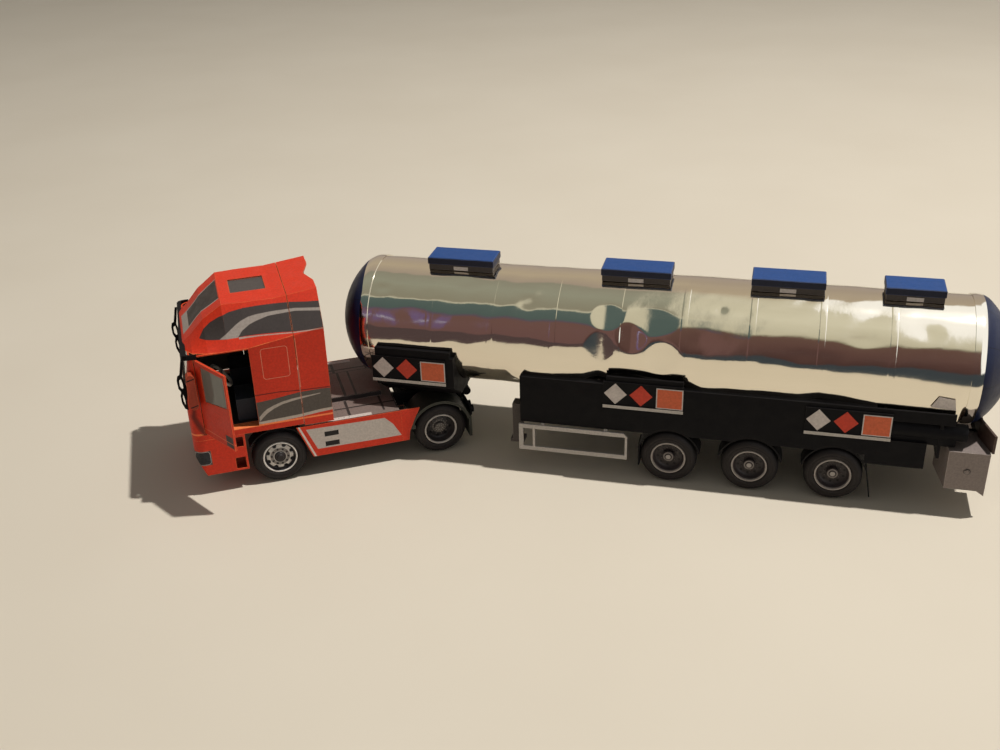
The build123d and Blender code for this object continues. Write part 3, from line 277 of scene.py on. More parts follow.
skirt = np.array([
    (-306.0, 0.0), (-302.0, 1.0), (-262.0, 1.0), (-247.0, 0.55), (-232.0, 0.3), (-222.0, 0.75), (-186.0, 0.8),
    (-176.0, 1.0), (-171.0, 1.0), (-163.0, 0.35), (-150.0, 0.4), (-137.0, 0.0), (-125.0, 0.0), (-120.0, 0.3),
    (-114.0, 0.0), (-106.0, 0.6), (-88.0, 0.9), (-76.0, 0.9), (-60.0, 0.0),
])


def buckled(x, angle):
    """Radius of the film: the barrel with slow waves and faint ripples, two thin steps at each seam,
    dents as exp(-along^2 - round^2), and facets. A facet is flat across, at the distance
    cos(half width) from the axis in its middle and at 1 at its ends, with a soft rim. Low on the
    left side the film hangs straight down, radius / cos(angle), by the share that `skirt` gives,
    down to `hem` degrees below the middle, and is back on the barrel at `barrel_again`."""
    chance = np.random.default_rng(7)
    out = np.full_like(x, tank_radius)
    turn = np.radians(angle)
    for scale, height in ((60.0, 0.14), (28.0, 0.06), (13.0, 0.012)):
        for _ in range(9):
            heading, phase = chance.uniform(-0.5, 0.5), chance.uniform(0, 2 * math.pi)
            rounds = max(1, round(2 * math.pi * tank_radius / scale * chance.uniform(0.4, 1.3)))
            out += height * np.sin(2 * math.pi * x / scale * (1 + heading) + rounds * turn + phase) / 3
    for middle, centre, length, width, depth in dents:
        out -= depth * np.exp(-1.6 * ((x - middle) / length) ** 2 - 1.6 * ((angle - centre) / width) ** 2)
    rounding = 0.12
    for middle, centre, length, width in facets:
        chord = math.cos(math.radians(width))
        chord = tank_radius * (chord + (1 - chord) * np.abs((x - middle) / length) ** 1.9)
        off = np.radians(np.clip(angle - centre, -60, 60))
        over = np.clip((out - chord / np.cos(off)) / rounding, -50, 50)
        out -= rounding * np.log1p(np.exp(over)) * (np.abs(angle - centre) < 60)
    band = np.abs(x[..., None] - seams)
    out += 0.035 * np.clip((half_lap - band) / 0.2, 0, 1).max(-1)
    out = np.minimum(out, tank_radius + 0.3)
    drop = np.interp(x, *skirt.T)
    hem, barrel_again = 32, 44
    hang = 1 / np.cos(np.radians(np.clip(-angle, 0, hem))) - 1
    back = (1 / math.cos(math.radians(hem)) - 1) * np.clip((barrel_again + angle) / (barrel_again - hem), 0, 1)
    hang = np.where(angle < -hem, back, hang)
    return out * (1 + drop * hang * (angle < 0) * (angle > -barrel_again))


fine_steps = [seams + side * (half_lap + off) for side in (-1, 1) for off in (-0.15, 0.0, 0.15)]
ends = [film_front - 0.05, film_rear + 0.05]
points_along, points_round = 270, 300
steps = np.concatenate([np.linspace(film_front, film_rear, points_along), ends, *fine_steps])
x, angle = np.meshgrid(np.sort(steps), np.linspace(0, 360, points_round, endpoint=False), indexing="ij")
signed = (angle + 180) % 360 - 180
radius = buckled(x, signed)
round_axis = np.radians(signed)
film_points = np.stack([x, radius * np.cos(round_axis), tank_z + radius * np.sin(round_axis)], -1)
poles = [np.full((1, points_round, 3), (end, 0.0, tank_z)) for end in (film_rear, film_front)]
film_points = np.concatenate([poles[0], film_points, poles[1]])[:, ::-1]

# A mirror with a faint warm tint. Handling leaves a fine crinkle about 4 mm wide, and drawing it
# tight leaves cloudy streaks of 80 by 7 mm, where the mirror is a little duller.
film, tree = bare_material("aluminised_polyester_film")
place = add(tree, "TexCoord").outputs["Object"]
crease = add(tree, "TexNoise", {"Vector": place, "Scale": 260.0, "Detail": 4.0})
streak = add(tree, "Mapping", {"Vector": place, "Scale": (12.0, 140.0, 140.0)})
smear = add(tree, "TexNoise", {"Vector": streak, "Scale": 1.0, "Detail": 3.0})
haze = add(tree, "MapRange", {"Value": smear, "From Min": 0.3, "From Max": 0.75,
                              "To Min": 0.04, "To Max": 0.15})
tint = add(tree, "Mix", {0: smear, 6: tone("#e0d9c9"), 7: tone("#ece5d6")}, data_type="RGBA")
relief = add(tree, "Bump", {"Height": crease, "Strength": 0.5, "Distance": 0.00006})
surface = add(tree, "BsdfPrincipled", {"Base Color": tint, "Metallic": 1.0,
                                       "Roughness": haze, "Normal": relief})
add(tree, "OutputMaterial", {0: surface})
tank_film = skin("tank_film", "trailer", trailer, [(film_points, False, True)], film, smooth=True)
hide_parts("tank_barrel")

# ---- Dished ends of the tank ----
# Domes of navy printed card, cut in darts and drawn together, each with a short rim that
# slips over the barrel and holds the end of the film.


def dress(material, *nodes):
    """Gives CAD pieces a material."""
    for node in nodes:
        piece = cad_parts[node]
        if not piece.material_slots:
            piece.data.materials.append(material)
        for slot in piece.material_slots:
            slot.link = "OBJECT"
            slot.material = material


def millimetres(tree, spot):
    """Object coordinates measured in millimetres from a spot and turned with it, split in three."""
    place = add(tree, "TexCoord")
    local = add(tree, "Mapping", {"Vector": place.outputs["Object"], "Location": (spot[0], spot[1], 0.0),
                                  "Rotation": (0.0, 0.0, spot[2]), "Scale": (0.001, 0.001, 0.001)},
                vector_type="TEXTURE")
    return add(tree, "SeparateXYZ", {0: local}).outputs


def printed(tree, ink, code, *limits):
    """Prints a colour over another where all limits hold. A limit is a mask that is 1 there, or
    (value, low, high) for a value that lies between two numbers."""
    mask = None
    for limit in limits:
        if isinstance(limit, tuple):
            value, low, high = limit
            test = {0: value, 1: (low + high) / 2, 2: (high - low) / 2}
            limit = add(tree, "Math", test, operation="COMPARE")
        if mask is not None:
            limit = add(tree, "Math", {0: mask, 1: limit}, operation="MULTIPLY")
        mask = limit
    return add(tree, "Mix", {0: mask, 6: ink, 7: tone(code)}, data_type="RGBA")


def card_surface(tree, ink, edge=None, roughness=0.5, sheen=0.28, cover=None):
    """Coated card: ink mottled over 1 mm, fibres every 0.3 mm, a slow bow over 15 mm, and a fold
    or cut edge about 0.5 mm wide that shows the edge colour, partly where the ink has cracked and
    partly as a painted highlight along the fold. A cover (mask, shader) lies over the card where its
    mask is 1. The fibres are coarser than real ones."""
    place = add(tree, "TexCoord").outputs["Object"]
    blot = add(tree, "TexNoise", {"Vector": place, "Scale": 900.0, "Detail": 3.0})
    worn = add(tree, "TexNoise", {"Vector": place, "Scale": 160.0, "Detail": 5.0, "Roughness": 0.7})
    fade = add(tree, "MapRange", {"Value": blot, "From Min": 0.3, "From Max": 0.7,
                                  "To Min": 0.88, "To Max": 1.1})
    colour = add(tree, "HueSaturation", {"Value": fade, "Color": ink})
    if edge:
        # Fold and cut edges take the edge colour: cracked ink there, and a painted highlight along the folds.
        near = add(tree, "Bevel", {"Radius": 0.00045}, samples=4)
        flat = add(tree, "NewGeometry")
        meet = add(tree, "VectorMath", {0: near, 1: flat.outputs["Normal"]}, operation="DOT_PRODUCT")
        bare = add(tree, "MapRange", {"Value": meet, "From Min": 0.995, "From Max": 0.93})
        patchy = add(tree, "MapRange", {"Value": worn, "From Min": 0.35, "From Max": 0.6,
                                        "To Min": 0.15, "To Max": 0.9})
        edge_wear_and_highlight = add(tree, "Math", {0: bare, 1: patchy}, operation="MULTIPLY")
        colour = printed(tree, colour, edge, edge_wear_and_highlight)
    gloss = add(tree, "MapRange", {"Value": worn, "From Min": 0.3, "From Max": 0.7,
                                   "To Min": roughness - 0.07, "To Max": roughness + 0.12})
    slow = add(tree, "TexNoise", {"Vector": place, "Scale": 65.0, "Detail": 1.0})
    fibre = add(tree, "TexNoise", {"Vector": place, "Scale": 3200.0, "Detail": 2.0})
    bowed = add(tree, "Bump", {"Height": slow, "Strength": 1.0, "Distance": 0.00025})
    rough = add(tree, "Bump", {"Height": fibre, "Strength": 1.0, "Distance": 0.00002, "Normal": bowed})
    surface = add(tree, "BsdfPrincipled", {"Base Color": colour, "Roughness": gloss,
                                           "Specular IOR Level": sheen, "Normal": rough})
    if cover:
        surface = add(tree, "MixShader", {0: cover[0], 1: surface, 2: cover[1]})
    add(tree, "OutputMaterial", {0: surface})


# Navy ink with a soft sheen, and a dark line at each of the ten darts. The end of the mirror
# film laps over the front dome, further the higher it is, and over the rear dome's rim.
navy, tree = bare_material("navy_printed_card")
x, y, z = millimetres(tree, trailer)
height = add(tree, "Math", {0: z, 1: tank_z}, operation="SUBTRACT")
turned = add(tree, "Math", {0: height, 1: y}, operation="ARCTAN2")
dart = add(tree, "Math", {0: turned, 1: math.pi / 10, 2: -math.pi / 10}, operation="WRAP")
darts = printed(tree, tone("#111a38"), "#080d1e", (dart, -0.006, 0.006))
film_end = add(tree, "MapRange", {"Value": turned, "From Min": math.radians(45),
                                  "From Max": math.radians(115), "To Min": film_front + 1.6,
                                  "To Max": film_front + 7.5})
before = add(tree, "Math", {0: x, 1: film_end}, operation="LESS_THAN")
behind = add(tree, "Math", {0: x, 1: film_rear - 2.6}, operation="GREATER_THAN")
covered = add(tree, "Math", {0: before, 1: behind}, operation="MULTIPLY")
silvered = add(tree, "BsdfPrincipled", {"Base Color": tone("#e6e0d2"), "Metallic": 1.0, "Roughness": 0.09})
card_surface(tree, darts, "#3a4566", 0.42, cover=(covered, silvered))
dress(navy, "tank_cap_front", "tank_cap_rear")

# ---- Hatch boxes ----
# Four folded card boxes glued along the top of the tank: a dark grey base cut to the barrel,
# a blue lid that overhangs it, and a blank white label in the middle of each side.

# The lid's top is a clear blue; its sides are printed nearly black as painted shade, with a blue cast only at
# the edges.
lid_blue, tree = bare_material("blue_printed_card")
lid = printed(tree, tone("#232638"), "#1f4580", (millimetres(tree, trailer)[2], 114.3, 115.0))
card_surface(tree, lid, "#56699a", 0.5, sheen=0.25)
dress(lid_blue, "hatch_lids")
# A warm dark grey that turns pale at the folds, from cracked ink and a painted highlight.
base_grey, tree = bare_material("dark_grey_printed_card")
card_surface(tree, tone("#4a4340"), "#8a807a", 0.55)
dress(base_grey, "hatch_bases")


def tile(outline, low, high, round_off=0.15):
    """A flat piece cut to an outline: a back at low, walls up to high, an edge rounded off, and a face.
    Back and face are drawn in to the middle of the outline. Returns rows of points (u, v, w)."""
    rim = np.asarray(outline, float)
    middle = rim.mean(0)
    away = rim - middle
    length = np.linalg.norm(away, axis=1, keepdims=True)
    inner = middle + away * (1 - round_off / length)
    centre = np.tile(middle, (len(rim), 1))
    ring = [(centre, low), (rim, low), (rim, high - round_off * 0.5), (inner, high), (centre, high)]
    return np.stack([np.column_stack([r, np.full(len(r), w)]) for r, w in ring])


def on_side(points, y, hand=1):
    """Turns a tile's (u, v, w) into (x, y, z) on the left side, or on the right with hand -1. It
    keeps the columns running so that the face points away from the lorry."""
    out = np.stack([points[..., 0], hand * (y + points[..., 2]), points[..., 1]], -1)
    return out[:, ::-1] if hand > 0 else out


def rectangle(x0, x1, z0, z1):
    """Four corners, running so that a tile on the left side faces outwards."""
    return [(x0, z0), (x0, z1), (x1, z1), (x1, z0)]


def both_sides(outline, y, low, high, edge):
    """The sheets of a piece cut to an outline, on the left side and on the right: its back lies at
    `low` and its face at `high` off the distance y."""
    piece = tile(outline, low, high, edge)
    return [(on_side(piece, y, hand), False, True) for hand in (1, -1)]


# Uncoated paper, greyed by handling and too thin for a cracked edge.
white_paper, tree = bare_material("white_paper")
card_surface(tree, tone("#cbc2be"), None, 0.6)
box_side, half_label = 8.0, 4.2
labels = []
for middle in (-31.0, -130.8, -212.0, -276.2):
    label = rectangle(middle - half_label, middle + half_label, 107.4, 109.6)
    labels += both_sides(label, box_side, -0.05, 0.12, 0.05)
skin("hatch_labels", "trailer", trailer, labels, white_paper)

# ---- Front bolster, coupling plate and sub-frame ----
# Black printed card, scored, folded into boxes and glued, with boards along both sides of the tank.
# The kingpin and all axles are straight pieces of drawn steel wire.

# Dense black ink swallows most light; the folds show as thin dark grey lines.
black, tree = bare_material("black_printed_card")
card_surface(tree, tone("#0a090c"), "#2c2928", 0.6, sheen=0.14)
dress(black, "front_bolster", "coupler_plate", "trailer_frame", "frame_saddles", "axle_hangers", "side_boards",
      "hose_tubes", "trailer_mudguards", "sign_boards")
# Drawn steel, bright but dulled in spots under a millimetre by handling.
wire, tree = bare_material("steel_wire")
place = add(tree, "TexCoord").outputs["Object"]
drawn = add(tree, "TexNoise", {"Vector": place, "Scale": 1500.0, "Detail": 2.0})
dull = add(tree, "MapRange", {"Value": drawn, "To Min": 0.25, "To Max": 0.5})
surface = add(tree, "BsdfPrincipled", {"Base Color": tone("#8b8b8d"), "Metallic": 1.0, "Roughness": dull})
add(tree, "OutputMaterial", {0: surface})
dress(wire, "kingpin", "trailer_axle_1", "trailer_axle_2", "trailer_axle_3", "front_axle", "rear_axle")

# ---- Slot strips and paper tab ----
# Behind the slot of each hose tube the side board is closed by a narrow strip of the same card.
# A scrap of pale paper is stuck under the film at the rear of the left side.

strips = both_sides(rectangle(-303.0, -246.0, 38.9, 43.2), 35.9, -0.3, 0.0, 0.1)
skin("slot_strips", "trailer", trailer, strips, black)
scrap = tile([(-300.5, 60.2), (-299.5, 66.2), (-291.5, 67.0), (-288.0, 60.9)], -0.1, 0.15, 0.05)
skin("paper_tab", "trailer", trailer, [(on_side(scrap, 35.2), False, True)], white_paper)

# ---- Sign boards ----
# Black strips of card with coloured paper shapes glued on: a white diamond, a red diamond, an
# orange plate with a pale border, and a silver strip on the ledge below. All are left blank.

# Silver ink is a pale matt grey, not a metal; the two papers are plain flat colours.
silver, tree = bare_material("silver_printed_card")
card_surface(tree, tone("#b9b3ae"), "#e2dcd6", 0.45)
red_paper, tree = bare_material("red_printed_paper")
card_surface(tree, tone("#c8402c"), None, 0.5)
orange_paper, tree = bare_material("orange_printed_paper")
card_surface(tree, tone("#cf6441"), None, 0.5)
board_face, ledge_face = 38.2, 38.6
whites, reds, oranges, borders, strips = [], [], [], [], []
for middle, ledge in ((-6.0, 48.2), (-140.4, 44.6), (-248.6, 40.1)):
    foot = ledge + 2.0
    for back, group in ((15.2, whites), (1.1, reds)):
        x = middle + back
        diamond = [(x - 6.3, foot + 6.9), (x, foot + 13.3), (x + 6.3, foot + 6.9), (x, foot + 0.5)]
        group += both_sides(diamond, board_face, -0.05, 0.15, 0.1)
    for group, inset, low, high in ((borders, 0.0, -0.05, 0.12), (oranges, 0.6, 0.0, 0.2)):
        plate = rectangle(middle - 21.8 + inset, middle - 7.2 - inset, foot + 0.2 + inset, foot + 12.6 - inset)
        group += both_sides(plate, board_face, low, high, 0.1)
    strip = rectangle(middle - 22.0, middle + 22.0, ledge + 0.1, ledge + 1.9)
    strips += both_sides(strip, ledge_face, -0.05, 0.12, 0.1)
skin("white_diamonds", "trailer", trailer, whites, white_paper)
skin("red_diamonds", "trailer", trailer, reds, red_paper)
skin("plate_borders", "trailer", trailer, borders, white_paper)
skin("orange_plates", "trailer", trailer, oranges, orange_paper)
skin("sign_strips", "trailer", trailer, strips, silver)

# ---- Side guards, legs, cabinets and tail board ----
# The guards are open frames of silver card, the legs dark grey strips, and the cabinets folded
# boxes of grey-beige card with a glued knob. All are glued under the frame, and a dark brown board
# closes its end.

dress(silver, "side_guards")
dress(base_grey, "landing_legs")
# Grey-beige ink, pale at the folds from wear and a painted highlight, with a dark ring printed round the knob.
beige, tree = bare_material("grey_beige_printed_card")
knob = (-310.4, 26.75, 0.0)
x, y, z = millimetres(tree, trailer)
spot = add(tree, "CombineXYZ", {0: x, 1: z})
away = add(tree, "VectorMath", {0: spot, 1: knob}, operation="DISTANCE")
card_surface(tree, printed(tree, tone("#857a76"), "#3d3633", (away, 1.1, 1.8)), "#c8bfb8", 0.5)
dress(beige, "rear_cabinets")
brown, tree = bare_material("brown_printed_card")
card_surface(tree, tone("#4b3a34"), "#7d6a61", 0.5)
dress(brown, "tail_board")

# ---- Wheels ----
# Tyres are rings of layers of black card with rounded shoulders and a grooved tread. Each wheel disc
# is pressed from printed paper: a pale ring, a dark dish with holes, a ring of nuts and a hub. Both
# are glued together and turn on a wire.

tyre_radius, rim_radius = 15.6, 9.7
# Added to the depth of points on a disc's back, to tell them by.
back_mark = 50.0


def tyre_ring(x, face, hand, width):
    """A tyre's section (radius, depth) turned about its axle. The tread is cut by grooves round it
    at `ways`, and the shoulder by notches that repeat as cos(60 turns)."""
    half = width / 2
    side = [(rim_radius, 1.1), (10.2, 0.35), (11.0, 0.08), (12.2, 0.0), (12.3, 0.12), (12.5, 0.12), (12.6, 0.0),
            (13.3, 0.15), (14.3, 0.75), (15.0, 1.5), (15.45, 2.3), (15.58, 3.0)]
    ways = [(1 - share) * 3.0 + share * half for share in (0.34, 0.66)]
    groove = []
    for w in ways + [half]:
        groove += [(tyre_radius, w - 0.35), (15.25, w - 0.25), (15.25, w + 0.25), (tyre_radius, w + 0.35)]
    front = side + groove[:-4]
    section = front + groove[-4:] + [(r, width - d) for r, d in reversed(front)]
    section += [(rim_radius, width * 0.6), (rim_radius, width * 0.4)]
    turn = np.linspace(0, 2 * math.pi, 120, endpoint=False)
    r, depth = np.array(section).T[:, :, None]
    r = r - 0.12 * (np.cos(60 * turn) > 0) * (r > 14.9)
    depth = depth + 0 * turn
    points = np.stack([x + r * np.cos(turn), hand * (face - depth), tyre_radius + r * np.sin(turn)], -1)
    local = np.stack([r * np.cos(turn), r * np.sin(turn), depth], -1)
    if hand > 0:
        points, local = points[:, ::-1], local[:, ::-1]
    return (points, True, True), local


def wheel_disc(x, face, hand, disc):
    """A disc's profile (radius, depth) turned about its axle and closed behind, with round bumps or
    holes laid on its front. Each bump row is (count, radius of the ring, size, height, turn)."""
    shape = np.array(disc["profile"] + disc["back"], float)
    reach = np.concatenate([[0], np.cumsum(np.hypot(*np.diff(shape, axis=0).T))])
    front_end = reach[len(disc["profile"]) - 1]
    fine = np.unique(np.concatenate([reach, np.linspace(0, front_end, 56)]))
    r = np.interp(fine, reach, shape[:, 0])[:, None]
    depth = np.interp(fine, reach, shape[:, 1])[:, None]
    behind = fine[:, None] > front_end
    turn = np.linspace(0, 2 * math.pi, 144, endpoint=False)[None, :]
    depth = depth + 0 * turn
    u, v = r * np.cos(turn), r * np.sin(turn)
    for count, ring, size, height, first in disc["bumps"]:
        for k in range(count):
            a = first + 2 * math.pi * k / count
            far = np.hypot(u - ring * math.cos(a), v - ring * math.sin(a)) / size
            depth = depth - height * np.clip(1.3 * (1 - far ** 4), 0, 1) * (far < 1) * ~behind
    points = np.stack([x + u, hand * (face - depth), tyre_radius + v], -1)
    local = np.stack([u, v, depth + back_mark * behind], -1)
    if hand > 0:
        points, local = points[:, ::-1], local[:, ::-1]
    return (points, False, True), local


# Nearly black card, greyer on the flat of the side than on the shoulder, with a faint ring every
# 0.35 mm where its layers end. The disc's smoother paper takes its printed colours from the mesh.
rubber_card, tree = bare_material("black_tyre_card")
where = add(tree, "Attribute", attribute_name="wheel")
axes = add(tree, "SeparateXYZ", {0: where.outputs["Vector"]}).outputs
flat = add(tree, "CombineXYZ", {0: axes[0], 1: axes[1]})
away = add(tree, "VectorMath", {0: flat}, operation="LENGTH")
layers = add(tree, "TexWave", {"Vector": add(tree, "CombineXYZ", {0: away}),
                               "Scale": 0.9, "Distortion": 0.6})
wall = add(tree, "MapRange", {"Value": away, "From Min": 13.6, "From Max": 15.2})
ringed = add(tree, "MapRange", {"Value": layers.outputs[1], "To Min": 0.0, "To Max": 0.35})
ink = printed(tree, printed(tree, tone("#262120"), "#191617", wall), "#1d1a1a", ringed)
card_surface(tree, ink, None, 0.62, sheen=0.25)
ring_paper, tree = bare_material("wheel_disc_paper")
paint = add(tree, "Attribute", attribute_name="paint")
card_surface(tree, paint.outputs["Color"], None, 0.4)


def shade_of(local, disc):
    """Linear colour at each point of a disc: its rows (from radius, colour) run outwards, its spots
    (count, ring, size, turn, colour) are laid over them, and the back is bare dark card."""
    r = np.hypot(local[..., 0], local[..., 1])
    out = np.zeros(local.shape)
    for start, code in disc["rows"]:
        out[r >= start] = tone(code)[:3]
    for count, ring, size, first, code in disc["spots"]:
        for k in range(count):
            a = first + 2 * math.pi * k / count
            near = np.hypot(local[..., 0] - ring * math.cos(a), local[..., 1] - ring * math.sin(a)) < size
            out[near] = tone(code)[:3]
    out[local[..., 2] > back_mark] = tone("#2a2627")[:3]
    return out


lip = [(8.9, 0.35), (9.2, 0.2), (9.6, 0.3), (9.75, 0.7), (9.75, 2.0)]
trailer_disc = dict(
    profile=[(0, 1.45), (1.6, 1.45), (1.9, 1.8), (2.9, 1.9), (3.2, 2.2), (3.3, 4.5), (6.9, 4.6), (7.6, 4.2),
             (8.1, 3.6), (8.7, 1.0)] + lip,
    back=[(rim_radius, 11.4), (9.0, 11.6), (8.0, 5.6), (0, 5.6)],
    bumps=[(10, 4.6, 0.5, 0.4, 0.1)],
    rows=[(0, "#a8a09b"), (1.5, "#3a3434"), (2.1, "#857d79"), (2.8, "#383232"), (4.3, "#3b3535"),
          (8.0, "#474041"), (8.65, "#a59d98")],
    spots=[(10, 6.3, 0.75, 0.4, "#1c191a"), (10, 4.6, 0.4, 0.1, "#5a5351")])
front_disc = dict(
    profile=[(0, -0.45), (1.7, -0.45), (2.0, 0.2), (2.9, 0.3), (3.2, 0.7), (3.3, 1.5), (5.6, 1.6), (6.4, 1.9),
             (7.6, 2.3), (8.4, 2.3), (8.7, 0.9)] + lip,
    back=[(rim_radius, 9.0), (9.0, 9.2), (8.0, 3.6), (0, 3.6)],
    bumps=[(10, 4.7, 0.6, 0.5, 0.1), (8, 7.0, 1.1, -0.6, 0.41)],
    rows=[(0, "#2c2828"), (3.3, "#dcd7d3"), (3.75, "#8f8985"), (5.6, "#e2ddd9"), (7.5, "#2b2728"),
          (8.8, "#e2ddd9")],
    spots=[(8, 7.3, 1.25, 0.41, "#1d1a1b"), (10, 4.7, 0.62, 0.1, "#2f2a2a")])
rear_disc = dict(
    profile=[(0, 2.2), (2.2, 2.3), (2.9, 2.5), (3.2, 2.9), (3.3, 4.4), (4.3, 4.6), (6.3, 5.2), (7.4, 5.4),
             (8.0, 4.8), (8.6, 1.4)] + lip,
    back=[(rim_radius, 17.8), (9.0, 18.0), (8.0, 6.5), (0, 6.5)],
    bumps=[(10, 5.2, 0.5, 0.5, 0.1)],
    rows=[(0, "#5d5855"), (4.5, "#343031"), (8.0, "#403b3b"), (8.7, "#c6c0bc")],
    spots=[(8, 6.7, 1.0, 0.2, "#121011"), (16, 3.7, 0.27, 0.0, "#a39c97"), (11, 2.5, 0.27, 0.2, "#aaa39e"),
           (6, 1.3, 0.27, 0.1, "#aaa39e"), (10, 5.2, 0.4, 0.1, "#6a6461")])


def wheels(name, body, spot, x, tyres, disc, nodes):
    """The tyres and the discs of one axle. Tyre rows are (face, width); the disc is in the first."""
    rings = [tyre_ring(x, face, hand, width) for face, width in tyres for hand in (1, -1)]
    made = skin(name + "_tyre_rings", body, spot, [sheet for sheet, _ in rings], rubber_card, smooth=True,
                values={"wheel": [local for _, local in rings]})
    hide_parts(nodes[0])
    discs = [wheel_disc(x, tyres[0][0], hand, disc) for hand in (1, -1)]
    made = skin(name + "_wheel_discs", body, spot, [sheet for sheet, _ in discs], ring_paper, smooth=True,
                values={"paint": [shade_of(local, disc) for _, local in discs]})
    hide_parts(nodes[1])


# Places of the axles along X, and distances of the tyres' outer faces from the middle. The tractor
# is turned about the kingpin.
trailer_axles = -155.4 - 44.3 * np.arange(3)
front_axle, rear_axle = 92.6, -1.8
trailer_face, tractor_face, inner_face = 38.2, 38.4, 28.4
tractor = (pin_x, pin_y, math.radians(31.0))
for i, axle in enumerate(trailer_axles.tolist(), 1):
    wheels(f"trailer_{i}", f"trailer_wheels_{i}", trailer, axle, [(trailer_face, 12.0)], trailer_disc,
           [f"trailer_tyres_{i}", f"trailer_rims_{i}"])
wheels("front", "front_wheels", tractor, front_axle, [(tractor_face, 9.6)], front_disc,
       ["front_tyres", "front_rims"])
wheels("rear", "rear_wheels", tractor, rear_axle, [(tractor_face, 8.4), (inner_face, 8.4)], rear_disc,
       ["rear_tyres", "rear_rims"])

# ---- Printed cab ----
# The cab, its high roof and the fairing behind it are folded from red-orange card that was printed
# first: a dark grey swoosh with a light arc, a lower grey band, and thin outlines of a locker.


def between(tree, along, across, rows, soft=0.12):
    """1 where `across` lies between two drawn lines. Rows are (along, low, high) in millimetres; the
    lines run straight from row to row, fade over `soft`, and stop at the first and last row."""
    rows = np.array(rows, float)
    start, stop = rows[0, 0], rows[-1, 0]
    low, high = rows[:, 1:].min() - 1.0, rows[:, 1:].max() + 1.0
    share = add(tree, "MapRange", {"Value": along, "From Min": start, "From Max": stop})
    level = add(tree, "Math", {0: across, 1: low}, operation="SUBTRACT")
    mask = add(tree, "Math", {0: along, 1: (start + stop) / 2, 2: (stop - start) / 2}, operation="COMPARE")
    for column, sign in ((1, 1.0), (2, -1.0)):
        line = add(tree, "FloatCurve", {"Value": share})
        points = line.mapping.curves[0].points
        places = np.column_stack([(rows[:, 0] - start) / (stop - start),
                                  (rows[:, column] - low) / (high - low)])
        for place in places[1:-1]:
            points.new(*place)
        for point, place in zip(points, places):
            point.location = place
            point.handle_type = "VECTOR"
        line.mapping.update()
        drawn = add(tree, "Math", {0: line, 1: high - low}, operation="MULTIPLY")
        gap = add(tree, "Math", {0: level, 1: drawn}, operation="SUBTRACT")
        edge = add(tree, "MapRange", {"Value": gap, "From Min": -sign * soft, "From Max": sign * soft})
        mask = add(tree, "Math", {0: mask, 1: edge}, operation="MULTIPLY")
    return mask


def thin_frame(tree, along, across, middle, half, corner, width):
    """A thin line round a rectangle with round corners: the distance past the inner corners,
    length(max(|p - middle| - half + corner, 0)), is the corner's radius on the line."""
    p = add(tree, "CombineXYZ", {0: along, 1: across})
    inner = (half[0] - corner, half[1] - corner, 0.0)
    for operation, other in (("SUBTRACT", (*middle, 0.0)), ("ABSOLUTE", None), ("SUBTRACT", inner),
                             ("MAXIMUM", (0.0, 0.0, 0.0))):
        inputs = {0: p} if other is None else {0: p, 1: other}
        p = add(tree, "VectorMath", inputs, operation=operation)
    far = add(tree, "VectorMath", {0: p}, operation="LENGTH")
    return add(tree, "Math", {0: far, 1: corner, 2: width / 2}, operation="COMPARE")


def card_places(tree, spot):
    """The coordinates x, y and z from a spot in millimetres, and |y|, the distance to either side."""
    x, y, z = millimetres(tree, spot)
    return x, y, z, add(tree, "Math", {0: y}, operation="ABSOLUTE")


# Coated card with a satin sheen: red-orange ink that turns a paler orange at folds and cut edges,
# from cracked ink and a painted highlight. The side turned to the cab's middle is printed nearly
# black: painted shade inside the cab.
orange, orange_edge = "#d2341a", "#f0854c"
# The band along the sill is the card's cut edge and a painted highlight.
stripe, light_line, sill_edge_and_highlight = "#3a3331", "#e39176", "#ff8a52"
cab_card, tree = bare_material("orange_printed_card")
x, y, z, wide = card_places(tree, tractor)
on_flank, on_wall, at_front = (wide, 22.0, 45.0), (wide, 37.0, 45.0), (x, 136.5, 142.0)
on_slope = (x, 112.6, 140.0), (z, 86.0, 107.6)
swoosh = between(tree, x, z, [
    (59.0, 92.6, 104.6), (68.1, 92.0, 104.9), (76.0, 92.0, 105.5), (85.2, 92.3, 105.6), (93.7, 92.5, 105.6),
    (101.0, 92.4, 105.4), (108.5, 92.2, 104.3), (114.2, 92.0, 102.3), (119.2, 92.0, 99.6), (123.0, 92.1, 96.6),
    (125.9, 92.3, 92.5)])
upper_arc = between(tree, x, z, [
    (59.0, 100.1, 101.5), (73.5, 101.2, 102.5), (82.5, 100.7, 102.3), (88.6, 100.3, 102.1), (95.0, 98.8, 101.7),
    (98.9, 97.5, 101.1), (103.2, 95.0, 99.6), (106.0, 92.1, 98.1), (107.4, 92.1, 97.2), (111.5, 92.1, 94.6),
    (115.6, 92.1, 92.1)])
underline = between(tree, x, z, [
    (59.0, 91.9, 92.4), (76.0, 91.3, 91.8), (93.7, 91.6, 92.1), (105.5, 91.3, 92.2)])
band = between(tree, x, z, [(58.0, 42.9, 55.2), (66.0, 42.7, 55.6), (77.2, 41.6, 55.5), (84.5, 41.2, 54.7),
                            (91.8, 41.0, 53.8), (101.6, 40.8, 53.1)])
low_strip = between(tree, x, z, [
    (58.0, 41.4, 43.0), (67.5, 40.9, 42.7), (78.9, 39.8, 41.6), (101.6, 38.8, 40.8)])
lower_arc = between(tree, x, z, [
    (66.0, 52.6, 53.0), (77.5, 51.3, 52.5), (82.4, 50.6, 52.1), (87.3, 49.7, 51.3), (92.3, 47.8, 49.8),
    (96.3, 45.5, 48.1), (98.5, 43.6, 46.4), (101.0, 41.0, 43.8)])
dark_line = between(tree, x, z, [
    (59.0, 55.6, 56.2), (77.1, 56.3, 56.9), (88.9, 57.3, 57.9), (101.6, 57.3, 57.9)])
